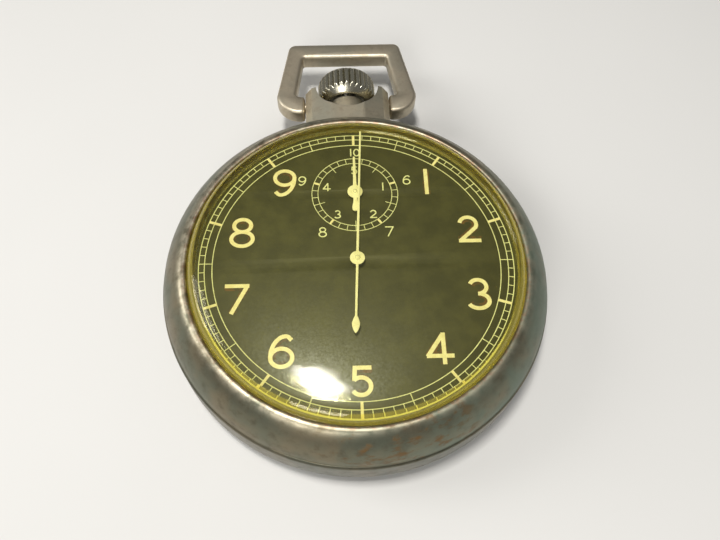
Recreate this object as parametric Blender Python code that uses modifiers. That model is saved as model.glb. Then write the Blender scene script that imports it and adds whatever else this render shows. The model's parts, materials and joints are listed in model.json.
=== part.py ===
"""A hand-wound pocket stopwatch with an open face, modelled as it comes apart on a bench.

The frame: the back of the case rests on z = 0, +Z points out of the dial and +Y at the crown.
All sizes are in millimetres and are turned into metres where geometry is made.
"""
import math

import bmesh
import bpy
from mathutils import Matrix

MM = 0.001

# Case and pendant
CASE_R = 25.8
SEAM_R = 25.5
SEAM_Z = 7.45
BEZEL_TOP = 12.45
BEZEL_BORE_R = 21.8
CRYSTAL_R = 21.7
CRYSTAL_TOP = 15.2
BACK_REST_R = 20.0
STEM_Z = 6.5
NECK_HALF_W = 6.35
NECK_HALF_H = 3.8
NECK_END_Y = 31.3
SLEEVE_Y = (26.05, 29.8)
SLEEVE_R = 2.65
STEM_BORE_R = 1.95
SLOT_R = 4.75
SLOT_Y = 31.65
CROWN_R = 4.4
CROWN_NEAR_Y = 29.9
CROWN_FAR_Y = 34.5
CROWN_FLUTES = 30
BOW_PIVOT_Y = 29.7
BOW_HALF_T = 1.3
BOW_INNER_Y = 38.95
BOW_OUTER_Y = 41.75
BOW_PIN_R = 0.78

# Dial and hands
DIAL_R = 21.3
DIAL_TOP = 11.3
DIAL_T = 0.4
DIAL_TURN = math.radians(-1.1)
REGISTER_OFFSET = 10.55
SWEEP_REST = math.radians(-2.8)
SWEEP_LENGTH = 20.3
SWEEP_TAIL = 10.5
REGISTER_LENGTH = 5.8
REGISTER_TAIL = 3.1
SWEEP_HAND_Z = 12.35
REGISTER_HAND_Z = 11.8
HAND_T = 0.15

# Movement levels
BRIDGE_Z = (3.7, 4.9)
PLATE_Z = (7.9, 9.4)
PLATE_R = 21.5
BRIDGE_R = 20.3
WINDING_Z = (2.6, 3.4)
BARREL_Z = (5.1, 5.6)
SWEEP_WHEEL_Z = (5.2, 5.5)
THIRD_WHEEL_Z = (6.0, 6.3)
SECOND_WHEEL_Z = (7.15, 7.45)
BALANCE_Z = (6.2, 6.8)
LEVER_Z = (6.15, 6.75)
TRANSFER_Z = (9.5, 9.8)
REGISTER_WHEEL_Z = (10.0, 10.3)
HEART_Z = (10.45, 10.75)
ESCAPE_WHEEL_Z = (7.2, 7.5)
PIVOT_Z = (3.9, 9.2)
SHOULDER_Z = (4.95, 7.8)

# Gears: (teeth, module)
BARREL_GEAR = (42, 0.34)
SECOND_PINION = (6, 0.34)
SECOND_GEAR = (36, 0.29)
THIRD_PINION = (6, 0.29)
THIRD_GEAR = (36, 0.21)
SWEEP_PINION = (6, 0.21)
SWEEP_GEAR = (30, 0.25)
ESCAPE_PINION = (9, 0.25)
DRIVE_PINION = (6, 0.25)
TRANSFER_GEAR = (36, 0.25)
TRANSFER_PINION = (6, 0.31)
REGISTER_GEAR = (30, 0.31)
CROWN_WHEEL_GEAR = (15, 0.7)
RATCHET_GEAR = (21, 0.7)
WINDING_TEETH = 7
WINDING_LEAF = [(1.75, -0.22), (2.48, -0.08), (2.48, 0.08), (1.75, 0.22)]
CONTRATE_PITCH_R = 4.9
CONTRATE_R = (4.5, 5.3)
ESCAPE_TEETH = 15

# Places seen from the dial side, (x, y)
CENTRE = (0.0, 0.0)
STEM = (0.0, 0.0, STEM_Z)
BARREL_AT = (-11.5, 6.0)
CROWN_WHEEL_AT = (0.0, 11.2)
CLICK_AT = (-13.17, -3.55)
BALANCE_AT = (10.2, -9.4)
COLUMN_AT = (9.0, 12.0)
LEVER_AT = (5.4, 15.0)
HAMMER_AT = (5.0, -14.0)
BRAKE_AT = (10.0, 1.6)
COCK_FOOT = (16.3, -3.4)
BARREL_BRIDGE_FEET = [(-12.9, 14.6), (4.9, 18.2), (5.0, 5.2)]
TRAIN_BRIDGE_FEET = [(-16.2, -9.5), (-3.0, -17.5), (7.4, 2.2)]
FOOT_R = 1.1
PIVOT_R = 0.2
PIVOT_HOLE_R = 0.26
STUD_R = 0.42
STUD_HOLE_R = 0.48
ESCAPE_WHEEL_R = (2.1, 2.85)
SCREW_HOLE_R = 0.55
ROUND = 40
FINE = 8
CRISP_ANGLE = math.radians(35)

COLLECTIONS = {}


def start_scene():
    """Empties the scene and makes the collections for the parts and for the cutters."""
    for obj in list(bpy.data.objects):
        bpy.data.objects.remove(obj, do_unlink=True)
    for name in ("pocket_stopwatch", "cutters"):
        made = bpy.data.collections.new(name)
        bpy.context.scene.collection.children.link(made)
        COLLECTIONS[name] = made


def metal(name, colour, roughness, metallic=1.0, transmission=0.0):
    """A Principled material with one colour."""
    made = bpy.data.materials.new(name)
    made.use_nodes = True
    shader = made.node_tree.nodes["Principled BSDF"]
    shader.inputs["Base Color"].default_value = (*colour, 1.0)
    shader.inputs["Roughness"].default_value = roughness
    shader.inputs["Metallic"].default_value = metallic
    shader.inputs["Transmission Weight"].default_value = transmission
    made.diffuse_color = (*colour, 1.0)
    return made


def adopt(obj, paint, at=(0.0, 0.0, 0.0), along="Z"):
    """Links a new object as a part, paints it, and puts its own Z along a world axis."""
    COLLECTIONS["pocket_stopwatch"].objects.link(obj)
    if paint:
        obj.data.materials.append(paint)
    obj.location = [value * MM for value in at]
    if along == "Y":
        obj.rotation_euler = (-math.pi / 2, 0, 0)
    if along == "X":
        obj.rotation_euler = (0, math.pi / 2, 0)
    return obj


def as_cutter(obj):
    """Moves an object in among the cutters, out of the renders."""
    COLLECTIONS["pocket_stopwatch"].objects.unlink(obj)
    COLLECTIONS["cutters"].objects.link(obj)
    obj.hide_render = True
    obj.display_type = "WIRE"
    return obj


def combine(obj, other, operation):
    """Joins, cuts or trims a part by another object, which becomes a cutter."""
    as_cutter(other)
    step = obj.modifiers.new(operation.lower(), "BOOLEAN")
    step.operation = operation
    step.object = other
    return obj


def turned(name, paint, profile, at=(0.0, 0.0, 0.0), along="Z", steps=ROUND):
    """A turned solid: (radius, height) points down the outside, closed unless both ends are on the axis."""
    mesh = bpy.data.meshes.new(name)
    points = [(radius * MM, 0.0, height * MM) for radius, height in profile]
    links = [(i, i + 1) for i in range(len(points) - 1)]
    if profile[0][0] > 0:
        links.append((len(points) - 1, 0))
    mesh.from_pydata(points, links, [])
    obj = adopt(bpy.data.objects.new(name, mesh), paint, at, along)
    screw = obj.modifiers.new("turn", "SCREW")
    screw.steps = steps
    screw.render_steps = steps
    screw.use_merge_vertices = True
    screw.merge_threshold = 1e-6
    return obj


def rod(name, paint, radius, low, high, at=(0.0, 0.0, 0.0), along="Z", steps=16):
    """A plain round bar from low to high along its axis."""
    profile = [(0, high), (radius, high), (radius, low), (0, low)]
    return turned(name, paint, profile, at, along, steps)


def shaft(name, paint, foot, steps_up, at, steps=16):
    """A stepped arbor standing at a place: its foot, then (radius, top) for each step going up."""
    profile = [(0, foot)]
    low = foot
    for radius, high in steps_up:
        profile += [(radius, low), (radius, high)]
        low = high
    profile.append((0, low))
    return turned(name, paint, profile[::-1], (*at, 0), steps=steps)


def ring(radius, middle=CENTRE, count=16):
    """The points of a circle."""
    return arc(middle, radius, 0, 360 - 360 / count, count - 1)


def arc(middle, radius, start, end, count):
    """Points along an arc, from start to end in degrees."""
    made = []
    for i in range(count + 1):
        angle = math.radians(start + (end - start) * i / count)
        made.append((middle[0] + radius * math.cos(angle), middle[1] + radius * math.sin(angle)))
    return made


def flat(name, paint, loops, low, high, at=(0.0, 0.0, 0.0), turn=0.0, along="Z"):
    """A flat piece: outlines, holes among them, filled and thickened from low to high."""
    curve = bpy.data.curves.new(name, "CURVE")
    curve.dimensions = "2D"
    curve.fill_mode = "BOTH"
    curve.extrude = (high - low) / 2 * MM
    for loop in loops:
        spline = curve.splines.new("POLY")
        spline.points.add(len(loop) - 1)
        for point, (x, y) in zip(spline.points, loop):
            point.co = (x * MM, y * MM, 0.0, 1.0)
        spline.use_cyclic_u = True
    middle = (low + high) / 2
    if along == "Z":
        obj = adopt(bpy.data.objects.new(name, curve), paint, (at[0], at[1], middle))
        obj.rotation_euler = (0, 0, turn)
    else:
        obj = adopt(bpy.data.objects.new(name, curve), paint, (at[0], middle, at[2]), along)
    return obj


def solid(curve_obj):
    """Turns a curve object into a mesh with its caps welded."""
    bpy.context.view_layer.update()
    reader = bpy.context.evaluated_depsgraph_get()
    mesh = bpy.data.meshes.new_from_object(curve_obj.evaluated_get(reader))
    weld = bmesh.new()
    weld.from_mesh(mesh)
    bmesh.ops.remove_doubles(weld, verts=weld.verts, dist=1e-7)
    weld.to_mesh(mesh)
    weld.free()
    name = curve_obj.name
    placed = curve_obj.matrix_world.copy()
    bpy.data.objects.remove(curve_obj, do_unlink=True)
    obj = bpy.data.objects.new(name, mesh)
    COLLECTIONS["pocket_stopwatch"].objects.link(obj)
    obj.matrix_world = placed
    return obj


def pitch_r(gear):
    """A gear's pitch radius."""
    return gear[0] * gear[1] / 2


def toothed(gear, facing, gap=False, leaf=False):
    """A gear's outline, with a tooth, or else a gap, facing an angle in radians."""
    teeth, module = gear
    step = math.tau / teeth
    first = facing + (step / 2 if gap else 0.0)
    tip = pitch_r(gear) + 0.7 * module
    root = pitch_r(gear) - 1.1 * module
    if leaf:
        flank = [(root, -0.27), (tip, -0.1), (tip, 0.1), (root, 0.27)]
    else:
        flank = [(root, -0.25), (tip, 0.0), (root, 0.25)]
    points = []
    for i in range(teeth):
        for radius, share in flank:
            angle = first + (i + share) * step
            points.append((radius * math.cos(angle), radius * math.sin(angle)))
    return points


def heading(start, end):
    """The angle from one place to another."""
    return math.atan2(end[1] - start[1], end[0] - start[0])


def from_place(start, distance, angle):
    """The place at a distance and an angle from another."""
    return (start[0] + distance * math.cos(angle), start[1] + distance * math.sin(angle))


def meet(first, first_r, second, second_r):
    """Where two circles cross, on the left of the way from the first to the second."""
    apart = math.dist(first, second)
    along = (first_r ** 2 - second_r ** 2 + apart ** 2) / (2 * apart)
    aside = math.sqrt(first_r ** 2 - along ** 2)
    way = heading(first, second)
    foot = from_place(first, along, way)
    return from_place(foot, aside, way + math.pi / 2), from_place(foot, aside, way - math.pi / 2)


# Places worked out from the gears
REGISTER_AT = from_place(CENTRE, REGISTER_OFFSET, math.pi / 2 + DIAL_TURN)
THIRD_AT = from_place(CENTRE, pitch_r(THIRD_GEAR) + pitch_r(SWEEP_PINION), math.radians(-118))
SECOND_AT = meet(
    BARREL_AT,
    pitch_r(BARREL_GEAR) + pitch_r(SECOND_PINION),
    THIRD_AT,
    pitch_r(SECOND_GEAR) + pitch_r(THIRD_PINION),
)[1]
ESCAPE_AT = from_place(CENTRE, pitch_r(SWEEP_GEAR) + pitch_r(ESCAPE_PINION), math.radians(-20))
TRANSFER_AT = meet(
    CENTRE,
    pitch_r(DRIVE_PINION) + pitch_r(TRANSFER_GEAR),
    REGISTER_AT,
    pitch_r(TRANSFER_PINION) + pitch_r(REGISTER_GEAR),
)[0]
FORK_WAY = heading(ESCAPE_AT, BALANCE_AT)
FORK_AT = from_place(ESCAPE_AT, 3.75, FORK_WAY)
FORK_COCK_FEET = [from_place(FORK_AT, side * 3.3, FORK_WAY + math.pi / 2) for side in (1, -1)]


def shift(x, y, z):
    """A move in millimetres, as a matrix."""
    return Matrix.Translation((x * MM, y * MM, z * MM))


def make_case(nickel, glass):
    """The bezel, crystal, middle and screw back."""
    bezel = [
        (BEZEL_BORE_R, 12.3), (22.2, BEZEL_TOP), (23.2, 11.95), (24.2, 10.85), (25.1, 9.3),
        (25.55, 7.9), (25.55, 7.6), (24.35, 7.6), (24.35, 9.35), (BEZEL_BORE_R, 9.35),
        (BEZEL_BORE_R, 11.45), (22.35, 11.45), (22.35, 12.05), (BEZEL_BORE_R, 12.05),
    ]
    turned("bezel", nickel, bezel)
    crystal = [
        (0, CRYSTAL_TOP), (10, 15.0), (17, 14.4), (20.7, 13.65), (21.5, 13.0),
        (CRYSTAL_R, 11.95), (22.25, 11.95), (22.25, 11.55), (20.7, 11.55), (20.7, 12.4), (20.2, 12.85),
        (15, 13.7), (0, 14.2),
    ]
    turned("crystal", glass, crystal)
    middle = [
        (SEAM_R, SEAM_Z), (CASE_R, 7.05), (CASE_R, 3.2), (25.55, 2.8), (24.4, 2.8), (24.4, 1.75),
        (23.5, 1.75), (23.5, 5.4), (20.9, 6.9), (20.9, 7.85), (21.8, 7.85), (21.8, 9.2), (24.2, 9.2),
        (24.2, SEAM_Z),
    ]
    body = turned("case_body", nickel, middle)
    combine(body, rod("stem_hole", None, STEM_BORE_R, 20, 27, STEM, "Y", 20), "DIFFERENCE")
    back = [
        (0, 1.0), (22.0, 1.0), (23.4, 1.45), (24.5, 1.6), (24.5, 2.7), (25.6, 2.7), (25.45, 1.9),
        (24.7, 1.05), (23.2, 0.4), (BACK_REST_R, 0.0), (0, 0.0),
    ]
    turned("back_cover", nickel, back)


def make_pendant(nickel):
    """The faceted neck with its ears and saddle, and the sleeve that the crown slides over."""
    quarter = [(2.45, NECK_HALF_H), (5.35, 2.7), (NECK_HALF_W, 1.3)]
    right = quarter + [(x, -z) for x, z in quarter[::-1]]
    section = right + [(-x, -z) for x, z in right]
    neck = solid(flat("pendant_neck", nickel, [section], 24.0, NECK_END_Y, STEM, along="Y"))
    combine(neck, rod("saddle", None, SLOT_R, 0, 13, (0, SLOT_Y, 0), steps=32), "DIFFERENCE")
    case_edge = [
        (0, 13), (23.0, 13), (24.27, 10.9), (25.18, 9.34), (25.65, 7.92), (CASE_R + 0.1, 7.5),
        (CASE_R + 0.1, 0), (0, 0),
    ]
    combine(neck, turned("case_edge", None, case_edge), "DIFFERENCE")
    combine(neck, rod("tube_bore", None, SLEEVE_R + 0.1, 22, 33, STEM, "Y", 20), "DIFFERENCE")
    hole_r = BOW_PIN_R + 0.08
    combine(neck, rod("bow_holes", None, hole_r, -9, 9, (0, BOW_PIVOT_Y, STEM_Z), "X", 20), "DIFFERENCE")
    near, far = SLEEVE_Y
    sleeve = [(STEM_BORE_R, far), (SLEEVE_R, far), (SLEEVE_R, near), (STEM_BORE_R, near)]
    turned("pendant_sleeve", nickel, sleeve, STEM, "Y", 20)


def make_bow(nickel):
    """The stirrup bow, in one bevelled bar with a pivot pin at each end."""
    stub = NECK_HALF_W + 0.1
    low_y, high_y = BOW_PIVOT_Y - 1.85, BOW_PIVOT_Y + 1.4
    outer = [(stub, low_y)] + arc((7.25, low_y + 3.5), 3.5, -90, 0, 6) + arc((7.75, 40.55), 1.2, 10, 90, 4)
    inner = arc((6.2, BOW_INNER_Y - 0.5), 0.5, 90, 10, 3) + arc((7.1, high_y + 0.65), 0.65, 0, -90, 3)
    inner.append((stub, high_y))
    outer[-1] = (outer[-1][0], BOW_OUTER_Y)
    left_outer = [(-x, y) for x, y in outer[::-1]]
    left_inner = [(-x, y) for x, y in inner[::-1]]
    bow = solid(flat("bow", nickel, [outer + left_outer + left_inner + inner], -BOW_HALF_T, BOW_HALF_T))
    bow.data.transform(bow.matrix_world)
    bow.data.transform(shift(0, -BOW_PIVOT_Y, 0))
    bow.matrix_world = shift(0, BOW_PIVOT_Y, STEM_Z)
    bevel = bow.modifiers.new("soft_edges", "BEVEL")
    bevel.width = 0.45 * MM
    bevel.segments = 1
    bevel.limit_method = "ANGLE"
    bevel.angle_limit = math.radians(50)
    for side in (1, -1):
        ends = sorted((side * 4.95, side * (stub + 1.2)))
        pin = rod("bow_pin", None, BOW_PIN_R, *ends, (0, BOW_PIVOT_Y, STEM_Z), "X", 16)
        combine(bow, pin, "UNION")


def make_crown(nickel, steel):
    """The fluted crown on its stem, and the collar that carries the push to the movement."""
    envelope = [
        (0, CROWN_FAR_Y), (3.3, CROWN_FAR_Y), (4.0, 34.1), (CROWN_R + 0.1, 33.2), (CROWN_R + 0.1, 31.05),
        (3.3, CROWN_NEAR_Y), (0, CROWN_NEAR_Y),
    ]
    star = []
    for i in range(CROWN_FLUTES):
        angle = math.tau * i / CROWN_FLUTES
        star.append(from_place(CENTRE, CROWN_R, angle))
        star.append(from_place(CENTRE, CROWN_R - 0.3, angle + math.pi / CROWN_FLUTES))
    length = (CROWN_NEAR_Y - 0.5, CROWN_FAR_Y + 0.5)
    crown = solid(flat("crown", nickel, [star], *length, STEM, along="Y"))
    combine(crown, turned("crown_form", None, envelope, STEM, "Y", 30), "INTERSECT")
    recess_r = SLEEVE_R + 0.2
    recess = [(0, 31.6), (recess_r, 31.6), (recess_r, 29.0), (0, 29.0)]
    combine(crown, turned("crown_recess", None, recess, STEM, "Y", 20), "DIFFERENCE")
    combine(crown, rod("crown_socket", None, 0.75, 31.0, 33.2, STEM, "Y", 16), "DIFFERENCE")
    stem = [(0, 33.0), (0.7, 33.0), (0.7, 17.7), (0.45, 17.7), (0.45, 15.0), (0, 15.0)]
    turned("winding_stem", steel, stem, STEM, "Y", 16)
    collar = [(0.78, 24.2), (1.3, 24.2), (1.3, 22.3), (0.78, 22.3)]
    turned("push_collar", steel, collar, STEM, "Y", 20)
    turns, coil_r, wire_r = 3, 1.05, 0.12
    low, high = 20.6, 22.1
    wire = bpy.data.curves.new("crown_spring", "CURVE")
    wire.dimensions = "3D"
    wire.bevel_depth = wire_r * MM
    wire.bevel_resolution = 1
    wire.use_fill_caps = True
    spline = wire.splines.new("POLY")
    count = turns * 10
    spline.points.add(count)
    for i, point in enumerate(spline.points):
        angle = math.tau * turns * i / count
        height = low + (high - low) * i / count
        point.co = (coil_r * math.cos(angle) * MM, coil_r * math.sin(angle) * MM, height * MM, 1.0)
    adopt(bpy.data.objects.new("crown_spring", wire), steel, STEM, "Y")


def make_winding(steel):
    """The winding pinion, crown wheel, ratchet wheel and click."""
    step = math.tau / WINDING_TEETH
    leaves = []
    for i in range(WINDING_TEETH):
        middle = math.pi / 2 + (i + 0.5) * step
        for radius, share in WINDING_LEAF:
            leaves.append(from_place(CENTRE, radius, middle + share * step))
    pinion_y = CROWN_WHEEL_AT[1] + CONTRATE_PITCH_R
    length = (pinion_y - 0.45, pinion_y + 0.45)
    flat("winding_pinion", steel, [leaves, ring(0.5)], *length, STEM, along="Y")

    to_ratchet = heading(CROWN_WHEEL_AT, BARREL_AT)
    spur = toothed(CROWN_WHEEL_GEAR, to_ratchet, leaf=True)
    wheel = solid(flat("crown_wheel", steel, [spur, ring(1.0)], *WINDING_Z, (*CROWN_WHEEL_AT, 0)))
    teeth = CROWN_WHEEL_GEAR[0]
    blocks = []
    for i in range(teeth):
        angle = math.pi / 2 + math.tau * i / teeth
        half = 0.24 / CONTRATE_PITCH_R
        inner, outer = CONTRATE_R
        corners = [(inner, -half), (outer, -half), (outer, half), (inner, half)]
        blocks.append([from_place(CENTRE, radius, angle + turn) for radius, turn in corners])
    crowns = solid(flat("contrate_teeth", None, blocks, WINDING_Z[1] - 0.4, 4.4, (*CROWN_WHEEL_AT, 0)))
    combine(wheel, crowns, "UNION")
    screw = [(0, 4.6), (0.45, 4.6), (0.45, 3.7), (0.9, 3.7), (0.9, 2.55), (2.0, 2.55), (2.0, 2.2), (0, 2.2)]
    turned("crown_wheel_screw", steel, screw, (*CROWN_WHEEL_AT, 0), steps=16)

    ratchet = toothed(RATCHET_GEAR, to_ratchet + math.pi, gap=True, leaf=True)
    flat("ratchet_wheel", steel, [ratchet, ring(0.75)], *WINDING_Z, (*BARREL_AT, 0))
    turned("ratchet_screw", steel, [(0, 2.5), (1.6, 2.5), (1.6, 2.1), (0, 2.1)], (*BARREL_AT, 0), steps=16)

    beak_way = heading(CLICK_AT, BARREL_AT)
    beak = from_place(CENTRE, click_reach(), beak_way)
    click = arc(CENTRE, 1.1, math.degrees(beak_way) + 60, math.degrees(beak_way) + 320, 9)
    flat("click", steel, [click + [beak], ring(0.4, count=10)], 2.7, 3.3, (*CLICK_AT, 0))
    bow = arc((CLICK_AT[0] - 2.6, CLICK_AT[1] - 1.4), 1.5, -60, 60, 6)
    back = arc((CLICK_AT[0] - 2.6, CLICK_AT[1] - 1.4), 1.25, 60, -60, 6)
    flat("click_spring", steel, [bow + back], 2.8, 3.2)


def click_reach():
    """How far the click's beak reaches: to just short of the ratchet wheel's tips."""
    tip = pitch_r(RATCHET_GEAR) + 0.7 * RATCHET_GEAR[1]
    return math.dist(CLICK_AT, BARREL_AT) - tip - 0.12


def spiral(inner_r, outer_r, turns, thickness, per_turn):
    """The outline of a flat spiral strip."""
    count = turns * per_turn
    outside, inside = [], []
    for i in range(count + 1):
        radius = inner_r + (outer_r - inner_r) * i / count
        angle = math.tau * i / per_turn
        outside.append(from_place(CENTRE, radius + thickness / 2, angle))
        inside.append(from_place(CENTRE, radius - thickness / 2, angle))
    return outside + inside[::-1]


def make_barrel(brass, steel):
    """The mainspring barrel, its arbor, spring and cover."""
    to_pinion = heading(BARREL_AT, SECOND_AT)
    wall = [ring(6.6, count=24), ring(6.15, count=24)]
    gear = toothed(BARREL_GEAR, to_pinion)
    barrel = solid(flat("barrel", brass, [gear, ring(0.95)], *BARREL_Z, (*BARREL_AT, 0)))
    drum = solid(flat("barrel_wall", None, wall, BARREL_Z[1] - 0.2, 6.75, (*BARREL_AT, 0)))
    combine(barrel, drum, "UNION")
    flat("barrel_cover", brass, [ring(6.55, count=24), ring(0.75)], 6.8, 7.0, (*BARREL_AT, 0))
    steps_up = [(0.68, 3.65), (0.85, 5.7), (1.4, 6.7), (0.68, 7.8), (0.5, 9.2)]
    shaft("barrel_arbor", steel, 2.55, steps_up, BARREL_AT)
    solid(flat("mainspring", steel, [spiral(1.65, 5.9, 4, 0.16, 12)], 5.75, 6.6, (*BARREL_AT, 0)))


def make_wheel(name, paint, gear, levels, at, facing, bore):
    """A crossed-out train wheel with four openings."""
    loops = [toothed(gear, facing), ring(bore, count=FINE)]
    inner = bore + 0.7
    outer = pitch_r(gear) - 1.1 * gear[1] - 0.55
    for quarter in range(4):
        middle = quarter * 90 + 45
        opening = arc(CENTRE, outer, middle - 36, middle + 36, 3)
        loops.append(opening + arc(CENTRE, inner, middle + 20, middle - 20, 1))
    return flat(name, paint, loops, *levels, (*at, 0))


def make_arbor(name, paint, gear, leaves_z, foot, steps_up, at, facing):
    """A steel arbor with its pinion cut on it; the pinion has a gap facing its wheel."""
    leaves = solid(flat(name, paint, [toothed(gear, facing, gap=True, leaf=True)], *leaves_z, (*at, 0)))
    return combine(leaves, shaft(name + "_shaft", None, foot, steps_up, at, FINE), "UNION")


def between(radius):
    """The steps of an arbor of a radius that runs between a bridge and the main plate."""
    return [(PIVOT_R, SHOULDER_Z[0]), (radius, SHOULDER_Z[1]), (PIVOT_R, PIVOT_Z[1])]


def make_train(brass, steel):
    """The going train, from the barrel to the escape wheel."""
    low = PIVOT_Z[0]
    make_arbor("second_arbor", steel, SECOND_PINION, (5.0, 5.75), low, between(0.35),
               SECOND_AT, heading(SECOND_AT, BARREL_AT))
    to_third = heading(SECOND_AT, THIRD_AT)
    make_wheel("second_wheel", brass, SECOND_GEAR, SECOND_WHEEL_Z, SECOND_AT, to_third, 0.38)
    make_arbor("third_arbor", steel, THIRD_PINION, (7.0, 7.6), low, between(0.3),
               THIRD_AT, heading(THIRD_AT, SECOND_AT))
    to_centre = heading(THIRD_AT, CENTRE)
    make_wheel("third_wheel", brass, THIRD_GEAR, THIRD_WHEEL_Z, THIRD_AT, to_centre, 0.33)
    sweep_steps = [(0.25, SHOULDER_Z[0]), (0.45, 10.85), (0.32, 12.6)]
    sweep = make_arbor("sweep_arbor", steel, SWEEP_PINION, (5.8, 6.5), low, sweep_steps,
                       CENTRE, heading(CENTRE, THIRD_AT))
    leaves = toothed(DRIVE_PINION, heading(CENTRE, TRANSFER_AT), gap=True, leaf=True)
    drive = solid(flat("drive_pinion", None, [leaves], TRANSFER_Z[0] - 0.05, TRANSFER_Z[1] + 0.05))
    combine(sweep, drive, "UNION")
    to_escape = heading(CENTRE, ESCAPE_AT)
    make_wheel("sweep_wheel", brass, SWEEP_GEAR, SWEEP_WHEEL_Z, CENTRE, to_escape, 0.5)
    make_arbor("escape_arbor", steel, ESCAPE_PINION, (5.0, 5.7), low, between(0.3),
               ESCAPE_AT, heading(ESCAPE_AT, CENTRE))
    root, tip = ESCAPE_WHEEL_R
    hooks = []
    for i in range(ESCAPE_TEETH):
        angle = math.tau * i / ESCAPE_TEETH
        for radius, turn in ((root, -0.1), (tip, 0.0), (tip, 0.05), (root, 0.16)):
            hooks.append(from_place(CENTRE, radius, angle + turn))
    flat("escape_wheel", steel, [hooks, ring(0.33, count=FINE)], *ESCAPE_WHEEL_Z, (*ESCAPE_AT, 0))


def make_escapement(brass, steel, ruby):
    """The pallet fork, balance, roller and hairspring."""
    arm = 1.95
    outline = [
        (-1.35, -arm - 0.25), (-0.95, -arm - 0.3), (-0.45, -0.6), (0.5, -0.45), (3.2, -0.2),
        (4.15, -0.55), (4.2, -0.25), (3.6, 0.0), (4.2, 0.25), (4.15, 0.55), (3.2, 0.2), (0.5, 0.45),
        (-0.45, 0.6), (-0.95, arm + 0.3), (-1.35, arm + 0.25), (-0.85, 0.0),
    ]
    fork = solid(flat("pallet_fork", steel, [outline], *ESCAPE_WHEEL_Z, (*FORK_AT, 0), FORK_WAY))
    steps_up = [(0.15, 6.95), (0.25, SHOULDER_Z[1]), (0.15, PIVOT_Z[1])]
    combine(fork, shaft("fork_shaft", None, 6.55, steps_up, FORK_AT, FINE), "UNION")

    loops = [ring(5.0, count=24), ring(0.42, count=FINE)]
    for side in (0, 180):
        opening = arc(CENTRE, 4.45, side + 8, side + 172, 7)
        loops.append(opening + arc(CENTRE, 0.95, side + 150, side + 30, 4))
    flat("balance_wheel", brass, loops, *BALANCE_Z, (*BALANCE_AT, 0))
    steps_up = [(0.15, SHOULDER_Z[0]), (0.38, 7.6), (0.15, PIVOT_Z[1])]
    shaft("balance_staff", steel, PIVOT_Z[0], steps_up, BALANCE_AT, FINE)
    flat("roller_table", ruby, [ring(1.25, count=20), ring(0.42, count=FINE)], 7.0, 7.15, (*BALANCE_AT, 0))
    coil = spiral(0.62, 2.9, 4, 0.08, 12)
    solid(flat("hairspring", steel, [coil], 5.35, 5.65, (*BALANCE_AT, 0)))


def make_bridge(name, paint, outline, feet, pivots, pockets=()):
    """A bridge on pillars, with screw holes down the pillars and pivot holes (place, radius)."""
    bridge = solid(flat(name, paint, [outline], *BRIDGE_Z))
    for cutter in pockets:
        combine(bridge, cutter, "DIFFERENCE")
    posts = [ring(FOOT_R, foot, FINE) for foot in feet]
    pillars = solid(flat(name + "_pillars", None, posts, BRIDGE_Z[1] - 0.5, PLATE_Z[0] - 0.05))
    combine(bridge, pillars, "UNION")
    holes = [ring(SCREW_HOLE_R, foot, FINE) for foot in feet]
    holes += [ring(radius, place, FINE) for place, radius in pivots]
    drills = solid(flat(name + "_holes", None, holes, BRIDGE_Z[0] - 1, PLATE_Z[0] + 1))
    return combine(bridge, drills, "DIFFERENCE")


def make_screw(name, paint, at):
    """A slotted bridge screw, which enters from the back and reaches into the main plate."""
    head = BRIDGE_Z[0] - 0.05
    profile = [(0, 9.1), (0.48, 9.1), (0.48, head), (0.95, head), (0.95, head - 0.5), (0, head - 0.5)]
    screw = turned(name, paint, profile, (*at, 0), steps=12)
    cut = [(-1.2, -0.12), (1.2, -0.12), (1.2, 0.12), (-1.2, 0.12)]
    slot = solid(flat(name + "_slot", None, [cut], head - 0.8, head - 0.3, (*at, 0)))
    return combine(screw, slot, "DIFFERENCE")


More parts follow.
